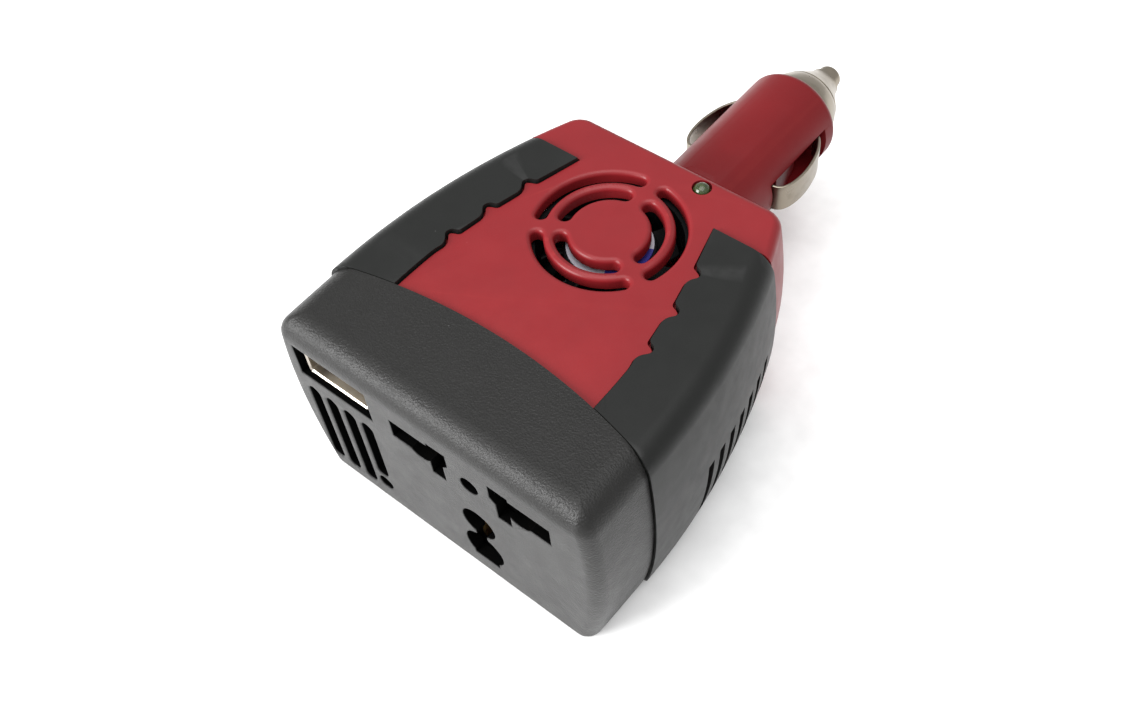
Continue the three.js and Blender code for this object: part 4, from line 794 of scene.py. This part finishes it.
def ring_slot(inner, outer, start, stop):
    """A curved slot of the grille with round ends, between two angles."""
    middle, end = (inner + outer) / 2, (outer - inner) / 2

    def round_end(angle, turned_from):
        x, y = middle * math.cos(angle), FAN_AT + middle * math.sin(angle)
        return arc(x, y, end, turned_from, turned_from + math.pi, 10)[1:-1]

    points = arc(0, FAN_AT, outer, start, stop, 30) + round_end(stop, stop)
    return points + arc(0, FAN_AT, inner, stop, start, 30) + round_end(start, start + math.pi)


def grille_cutters():
    top = SHELL_HIGH.z
    cutters = []
    for inner, outer in GRILLE_RINGS:
        keep = (GRILLE_SPOKE / 2 + (outer - inner) / 2) / ((inner + outer) / 2)
        for i in range(3):
            start = QUARTER + i * TURN / 3 + keep
            stop = QUARTER + (i + 1) * TURN / 3 - keep
            outline = ring_slot(inner, outer, start, stop)
            cutters.append(flared(outline, GRILLE_FILLET, 4.0, lambda u, v, d: (u, v, top - d), 6))
    return cutters


def shell_body():
    low, high = SHELL_LOW.z, SHELL_HIGH.z
    body = casing(0, low, high, SHELL_FILLET, SHELL_FILLET)
    cut(body, grip_region(1, GROOVE), grip_region(-1, GROOVE))
    join(body, casing(-GRIP_RECESS, low + GRIP_RECESS, high - GRIP_RECESS, BED_FILLET, SHELL_FILLET, 4))
    cut(body, hollow(-SHELL_WALL, low + SHELL_WALL, high - SHELL_WALL))
    cut(body, before_seam(SEAM_GAP / 2))
    ceiling = high - SHELL_WALL
    cut(body, rod("z", FAN_WELL_RADIUS, (0, FAN_AT), ceiling - 1, high - GRILLE_THICKNESS, 64))
    cut(body, *grille_cutters())
    led = ((LED_LOW.x + LED_HIGH.x) / 2, (LED_LOW.y + LED_HIGH.y) / 2)
    cut(body, rod("z", (LED_HIGH.x - LED_LOW.x) / 2 + 0.15, led, ceiling - 1, high + 1, 32))
    rear, reach = BODY_LENGTH, TONGUE_RADIUS + CLEARANCE
    cut(body, block(-TONGUE_ROOM, TONGUE_ROOM, rear - 6, rear + 1, PLUG_AXIS - reach, PLUG_AXIS + reach))
    cut(body, *screw_holes())
    cut(body, *side_vents())
    return body


def shells():
    whole = shell_body()
    lower = copy_of(whole)
    common(whole, block(-FAR, FAR, -FAR, FAR, SPLIT_HEIGHT + SPLIT_GAP / 2, FAR))
    common(lower, block(-FAR, FAR, -FAR, FAR, -FAR, SPLIT_HEIGHT - SPLIT_GAP / 2))
    publish(whole, "upper_shell_skin", SHELL_RED.material, "housing", "upper_shell")
    publish(lower, "lower_shell_skin", SHELL_RED.material, "housing", "lower_shell")


# ---------------------------------------------------------------------------------------------------
# Side grips


def grip(side, name, node):
    inset = GRIP_RECESS - CLEARANCE
    low, high = SHELL_LOW.z + inset, SHELL_HIGH.z - inset
    piece = casing(GRIP_PROUD, 0, BODY_HEIGHT, GRIP_TOP_FILLET, GRIP_LOW_FILLET)
    cut(piece, casing(-inset, low, high, BED_FILLET + CLEARANCE, SHELL_FILLET, 4))
    common(piece, grip_region(side, 0))
    cut(piece, before_seam(SEAM_GAP / 2))
    cut(piece, *screw_holes())
    cut(piece, *side_vents())
    soften(piece, 0.25)
    return publish(piece, name, GRIP_BLACK.material, "housing", node)


# ---------------------------------------------------------------------------------------------------
# Plug


def plug_body():
    """A round-rimmed barrel with a fuse bore, forked round the tongue and pocketed for the clips."""
    end, seat = PLUG_HIGH.y, PLUG_HIGH.y - NUT_SEAT_DEPTH
    profile = [(0, PIVOT_Y - PLUG_RADIUS), (PLUG_RADIUS, PIVOT_Y - PLUG_RADIUS)]
    profile += arc(PLUG_RADIUS - RIM_RADIUS, end - RIM_RADIUS, RIM_RADIUS, 0, QUARTER, 10)
    profile += [(NUT_BORE, end), (NUT_BORE, seat), (FUSE_BORE, seat)]
    profile += [(FUSE_BORE, BORE_START), (0, BORE_START)]
    body = turned("plug_body", profile, 0, PLUG_AXIS, 128)
    ahead = block(-FAR, FAR, PIVOT_Y, 2 * FAR, -FAR, FAR)
    common(body, join(ahead, rod("x", PLUG_RADIUS, (PIVOT_Y, PLUG_AXIS), -FAR, FAR, 96)))
    half, reach = TONGUE_ROOM, TONGUE_RADIUS + 2 * CLEARANCE
    low = PLUG_AXIS - PLUG_RADIUS - 1
    room = block(-half, half, PIVOT_Y - PLUG_RADIUS - 1, PIVOT_Y, low, PLUG_AXIS + reach)
    join(room, block(-half, half, PIVOT_Y - 1, PIVOT_Y + reach, low, PLUG_AXIS))
    join(room, rod("x", reach, (PIVOT_Y, PLUG_AXIS), -half, half, 64))
    cut(body, room, rod("x", PIN_BORE, (PIVOT_Y, PLUG_AXIS), -FAR, FAR, 32))
    cut(body, clip_pocket(1), clip_pocket(-1))
    soften(body, 0.3)
    return publish(body, "plug_body_skin", PLUG_RED.material, "plug", "plug_body")


def clip_pocket(side):
    """A pocket whose floor slopes down towards the front, where the clip's end slides in."""
    rear, front = CLIP_LOW.y, CLIP_HIGH.y
    floor = [
        (5.6, rear - 0.3),
        (5.6, rear + 1.0),
        (8.3, rear + 1.5),
        (7.7, rear + 5.0),
        (6.2, front - 5.0),
        (4.7, front - 2.6),
        (4.7, front + 0.9),
        (FAR, front + 0.9),
        (FAR, rear - 0.3),
    ]
    outline = [(side * x, y) for x, y in floor]
    half = (CLIP_HIGH.z - CLIP_LOW.z) / 2 + CLEARANCE
    return prism(outline if side < 0 else outline[::-1], PLUG_AXIS - half, PLUG_AXIS + half, "pocket")


def nose_nut():
    """A plain skirt, a low collar at the rim and a cone with a shallow groove, bored for the tip."""
    start, end = NUT_LOW.y, NUT_HIGH.y
    radius = (NUT_HIGH.x - NUT_LOW.x) / 2 - 0.9
    flange = PLUG_HIGH.y + 0.1
    profile = [(FUSE_BORE, start), (radius, start), (radius, flange), (radius + 0.75, flange)]
    profile += [(radius + 0.88, flange + 0.15), (radius + 0.84, flange + 0.6), (radius + 0.55, flange + 1.5)]
    profile += [(radius + 0.02, end - 6.9), (radius - 0.45, end - 5.95), (radius - 0.62, end - 5.8)]
    profile += [(radius - 0.6, end - 5.55), (radius - 1.0, end - 5.0), (radius - 1.62, end - 4.0)]
    profile += [(radius - 2.25, end - 3.0), (radius - 2.87, end - 2.0), (radius - 3.4, end - 1.0)]
    profile += [(radius - 3.55, end - 0.5), (3.0, end - 0.12), (2.85, end), (2.6, end)]
    profile += [(2.6, end - 2.4), (FUSE_BORE, end - 2.4)]
    nut = turned("nose_nut", profile, 0, PLUG_AXIS, 96)
    return publish(nut, "nose_nut_skin", NICKEL.material, "plug", "nose_nut")


def tip_contact():
    """A collared pin with a rounded end."""
    radius, edge = 2.3, 1.2
    start, end = TIP_LOW.y, TIP_HIGH.y
    profile = [(0, start), (3.1, start), (3.1, start + 1.6), (radius, start + 1.6), (radius, end - edge)]
    profile += arc(radius - edge, end - edge, edge, 0, QUARTER, 12)[1:]
    profile.append((0, end))
    tip = turned("tip_contact", profile, 0, PLUG_AXIS, 64)
    return publish(tip, "tip_contact_skin", NICKEL.material, "tip", "tip_contact")


def swivel_tongue():
    half = TONGUE_HALF_WIDTH
    flange_rear = BODY_LENGTH - SHELL_WALL - CLEARANCE
    low, high = PLUG_AXIS - TONGUE_RADIUS, PLUG_AXIS + TONGUE_RADIUS
    tongue = block(-half, half, flange_rear - 1, PIVOT_Y, low, high)
    join(tongue, rod("x", TONGUE_RADIUS, (PIVOT_Y, PLUG_AXIS), -half, half, 64))
    join(tongue, block(-half - 3, half + 3, TONGUE_LOW.y, flange_rear, TONGUE_LOW.z, TONGUE_HIGH.z))
    cut(tongue, rod("x", PIN_BORE, (PIVOT_Y, PLUG_AXIS), -half - 1, half + 1, 32))
    soften(tongue, 0.35)
    return publish(tongue, "swivel_tongue_skin", PLUG_RED.material, "housing", "swivel_tongue")


def clip_skin(side, node):
    """The bowed leaf as a finer strip with rounded edges, through the CAD leaf's own bow."""
    knots = [
        (CLIP_ROOT, CLIP_REAR),
        (CLIP_ROOT + 0.6 * CLIP_RISE, CLIP_REAR + 0.2),
        (CLIP_REACH - 0.12 * CLIP_RISE, CLIP_REAR + 0.11 * CLIP_LENGTH),
        (CLIP_REACH, CLIP_REAR + 0.3 * CLIP_LENGTH),
        (CLIP_REACH - 0.03 * CLIP_RISE, CLIP_REAR + 0.52 * CLIP_LENGTH),
        (CLIP_REACH - 0.2 * CLIP_RISE, CLIP_REAR + 0.75 * CLIP_LENGTH),
        (CLIP_REACH - 0.5 * CLIP_RISE, CLIP_REAR + 0.93 * CLIP_LENGTH),
        (CLIP_REACH - 0.8 * CLIP_RISE, CLIP_REAR + CLIP_LENGTH),
    ]
    spine = smooth_path(knots, 9)
    rings = []
    half_width = (CLIP_HIGH.z - CLIP_LOW.z) / 2
    section = rounded_section(0.28, half_width, 0.2)
    for i, (x, y) in enumerate(spine):
        x1, y1 = spine[max(0, i - 1)]
        x2, y2 = spine[min(len(spine) - 1, i + 1)]
        along = Vector((x2 - x1, y2 - y1)).normalized()
        ring = []
        for across, up in section:
            px, py = x + along.y * across, y - along.x * across
            ring.append((side * px, py, PLUG_AXIS + up))
        rings.append(ring)
    strip = loft("clip", rings)
    return publish(strip, node + "_skin", NICKEL.material, node, node)


def smooth_path(knots, steps):
    """A Catmull-Rom curve through the knots."""
    padded = [knots[0]] + list(knots) + [knots[-1]]
    path = []
    for a, b, c, d in zip(padded, padded[1:], padded[2:], padded[3:]):
        for i in range(steps):
            t = i / steps
            point = []
            for p0, p1, p2, p3 in zip(a, b, c, d):
                value = 2 * p1 + (p2 - p0) * t + (2 * p0 - 5 * p1 + 4 * p2 - p3) * t * t
                value += (3 * p1 - p0 - 3 * p2 + p3) * t**3
                point.append(value / 2)
            path.append(tuple(point))
    return path + [tuple(knots[-1])]


def rounded_section(half_thick, half_width, radius):
    points = []
    for cx, cy, start in ((1, -1, -QUARTER), (1, 1, 0), (-1, 1, QUARTER), (-1, -1, math.pi)):
        centre = (cx * (half_thick - radius), cy * (half_width - radius))
        points += arc(*centre, radius, start, start + QUARTER, 3)
    return points


# ---------------------------------------------------------------------------------------------------
# Small visible pieces


def status_light():
    x, y = (LED_LOW.x + LED_HIGH.x) / 2, (LED_LOW.y + LED_HIGH.y) / 2
    radius = (LED_HIGH.x - LED_LOW.x) / 2
    crown = LED_HIGH.z - radius
    profile = [(0, LED_LOW.z), (radius, LED_LOW.z)] + arc(0, crown, radius, 0, QUARTER, 12)[:-1]
    profile.append((0, LED_HIGH.z))
    dome = upright("status_light", profile, x, y)
    return publish(dome, "status_light_dome", LED.material, "housing", "status_light")


def fan():
    low, high = ROTOR_LOW.z, ROTOR_HIGH.z
    reach, edge = (ROTOR_HIGH.x - ROTOR_LOW.x) / 2, 0.6
    profile = [(0, low), (HUB_RADIUS, low), (HUB_RADIUS, high - edge)]
    profile += arc(HUB_RADIUS - edge, high - edge, edge, 0, QUARTER, 6)[1:]
    profile.append((0, high))
    hub = upright("fan_hub", profile, 0, 0, 72)
    blades = []
    for i in range(BLADE_COUNT):
        rings = []
        for j in range(7):
            radius = HUB_RADIUS - 0.5 + (reach - HUB_RADIUS + 0.4) * j / 6
            sweep = TURN * i / BLADE_COUNT + 0.10 * (j / 6) ** 2
            twist = math.radians(46 - 14 * j / 6)
            ring = []
            for u, v in rounded_section(0.3, 2.7, 0.28):
                tangent = v * math.cos(twist) - u * math.sin(twist)
                z = (low + high) / 2 + v * math.sin(twist) + u * math.cos(twist)
                angle = sweep + tangent / radius
                level = min(high - 0.1, max(low + 0.1, z))
                ring.append((radius * math.cos(angle), radius * math.sin(angle), level))
            rings.append(ring)
        blades.append(loft("blade", rings))
    join(hub, *blades)
    hub.data.transform(Matrix.Translation((0, FAN_AT, 0)))
    publish(hub, "fan_rotor_skin", EPOXY.material, "fan", "fan_rotor")
    radius = (LABEL_HIGH.x - LABEL_LOW.x) / 2
    profile = [(0, LABEL_LOW.z), (radius, LABEL_LOW.z), (radius, LABEL_HIGH.z - 0.05)]
    profile += [(radius - 0.05, LABEL_HIGH.z), (0, LABEL_HIGH.z)]
    disc = upright("fan_label", profile, 0, FAN_AT, 72)
    publish(disc, "fan_label_disc", LABEL.material, "fan", "fan_label")


def usb_outlet():
    x0, x1, z0, z1 = USB_LOW.x, USB_HIGH.x, USB_LOW.z, USB_HIGH.z
    front, rear, wall = USB_LOW.y, USB_HIGH.y, 0.4
    centre = ((x0 + x1) / 2, (z0 + z1) / 2)
    width, height = (x1 - x0) / 2, (z1 - z0) / 2

    def tube(inset, y):
        section = rounded_section(width - inset, height - inset, 0.7 - inset)
        return [(centre[0] + u, y, centre[1] + v) for u, v in section]

    outside = loft("usb_shell", [tube(0.15, front), tube(0, front + 0.15), tube(0, rear)])
    mouth = [tube(wall - 0.2, front - 0.01), tube(wall, front + 0.25)]
    inside = loft("usb_inside", [*mouth, tube(wall, rear - wall)])
    cut(outside, inside)
    for side in (-1, 1):
        x = centre[0] + side * 3.0
        cut(outside, block(x - 0.9, x + 0.9, front + 4, front + 7, centre[1], z1 + 1))
    publish(outside, "usb_shell_skin", BRIGHT.material, "housing", "usb_shell")


def screw_head(x, y, low, radius, name, node, shank_top, shank_radius):
    """A pan head with a cross recess, facing down, on a plain shank."""
    top = low + 1.6
    profile = [(0, low)] + arc(radius - 0.5, low + 0.5, 0.5, -QUARTER, 0, 5)
    profile += [(radius, top), (shank_radius, top), (shank_radius, shank_top - 1), (0, shank_top)]
    screw = upright("screw", profile, x, y, 40)
    for angle in (0, QUARTER):
        slot = block(-1.35, 1.35, -0.28, 0.28, low - 1, low + 0.8)
        slot.data.transform(Matrix.Translation((x, y, 0)) @ Matrix.Rotation(angle + 0.4, 4, "Z"))
        cut(screw, slot)
    return publish(screw, name, STEEL.material, "housing", node)


def case_screws():
    for i, (low, high) in enumerate(CASE_SCREWS, 1):
        x, y = (low.x + high.x) / 2, (low.y + high.y) / 2
        node = "case_screw_" + str(i)
        screw_head(x, y, low.z, (high.x - low.x) / 2, node + "_skin", node, high.z, 1.2)


# ---------------------------------------------------------------------------------------------------
# CAD nodes that keep their own shape

KEPT = {
    "socket_insert": INSULATOR,
    "live_contact": BRASS,
    "neutral_contact": BRASS,
    "earth_contact": BRASS,
    "usb_tongue": WHITE_PLASTIC,
    "usb_board": BOARD,
    "main_board": BOARD,
    "board_screw_1": STEEL,
    "board_screw_2": STEEL,
    "transformer_core": FERRITE,
    "transformer_winding": TAPE,
    "input_capacitor": SLEEVE,
    "output_capacitor": SLEEVE,
    "film_capacitor": FILM,
    "input_choke": COPPER,
    "control_chip": EPOXY,
    "left_heatsink": ALUMINIUM,
    "right_heatsink": ALUMINIUM,
    "transistor_1": EPOXY,
    "transistor_2": EPOXY,
    "transistor_3": EPOXY,
    "transistor_4": EPOXY,
    "fan_frame": EPOXY,
    "fan_screw_1": STEEL,
    "fan_screw_2": STEEL,
    "positive_wire": WIRE_RED,
    "negative_wire": WIRE_BLACK,
    "live_wire": WIRE_BLACK,
    "neutral_wire": WIRE_BLACK,
    "swivel_pin": STEEL,
    "fuse_front_cap": NICKEL,
    "fuse_rear_cap": NICKEL,
    "fuse_glass": GLASS,
    "fuse_element": STEEL,
    "tip_spring": STEEL,
}


def dress_kept_nodes():
    for node, look in KEPT.items():
        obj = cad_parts[node]
        obj.data.materials.clear()
        obj.data.materials.append(look.material)
        bevel = obj.modifiers.new("edges", "BEVEL")
        bevel.width = KEPT_EDGE * MM
        bevel.segments = 2
        bevel.limit_method = "ANGLE"
        bevel.angle_limit = math.radians(50)


# ---------------------------------------------------------------------------------------------------
# Floor, light and camera


def stage():
    size = 3.0
    corners = [(-size, -size, 0), (size, -size, 0), (size, size, 0), (-size, size, 0)]
    floor = mesh_object("floor", corners, [(0, 1, 2, 3)])
    look = Look("floor_white", (0.9, 0.9, 0.9), 0.85)
    floor.data.materials.append(look.material)


def softbox(name, place, target, size, power, color=(1, 1, 1)):
    light = bpy.data.lights.new(name, "AREA")
    light.shape = "DISK"
    light.size = size
    light.energy = power
    light.color = color
    obj = bpy.data.objects.new(name, light)
    obj.location = place
    obj.rotation_euler = (Vector(target) - Vector(place)).to_track_quat("-Z", "Y").to_euler()
    bpy.context.scene.collection.objects.link(obj)


def lights():
    world = bpy.data.worlds.new("studio")
    bpy.context.scene.world = world
    world.use_nodes = True
    background = world.node_tree.nodes["Background"]
    background.inputs["Color"].default_value = (1, 1, 1, 1)
    background.inputs["Strength"].default_value = 0.7
    centre = (0, 0, 0.02)
    softbox("front_key", (-0.43, -0.8, 0.43), centre, 0.6, 15.0)
    softbox("top_fill", (0.1, -0.2, 1.2), centre, 1.4, 15.0)


def camera():
    """Placed from the fitted viewing angle, with its slight roll."""
    azimuth, elevation, roll = math.radians(44.83), math.radians(52.86), -0.122
    place = Vector((82.43, -52.70, 173.57)) * MM + Vector((0, FRONT, 0))
    back = Vector(
        (
            math.sin(azimuth) * math.cos(elevation),
            -math.cos(azimuth) * math.cos(elevation),
            math.sin(elevation),
        )
    )
    level = Vector((math.cos(azimuth), math.sin(azimuth), 0))
    rise = back.cross(level)
    right = level * math.cos(roll) + rise * math.sin(roll)
    up = rise * math.cos(roll) - level * math.sin(roll)
    data = bpy.data.cameras.new("camera")
    data.sensor_width = 36.0
    data.lens = FOCAL_LENGTH
    data.clip_start = 0.005
    obj = bpy.data.objects.new("camera", data)
    turn = Matrix((right, up, back)).transposed().to_4x4()
    obj.matrix_world = Matrix.Translation(place) @ turn
    bpy.context.scene.collection.objects.link(obj)
    bpy.context.scene.camera = obj
    bpy.context.scene.view_settings.view_transform = "Standard"


# ---------------------------------------------------------------------------------------------------
# The whole object

front_cap()
shells()
grip(-1, "left_grip_skin", "left_grip")
grip(1, "right_grip_skin", "right_grip")
case_screws()
status_light()
fan()
usb_outlet()
plug_body()
nose_nut()
tip_contact()
swivel_tongue()
clip_skin(-1, "left_clip")
clip_skin(1, "right_clip")
dress_kept_nodes()
stage()
lights()
camera()
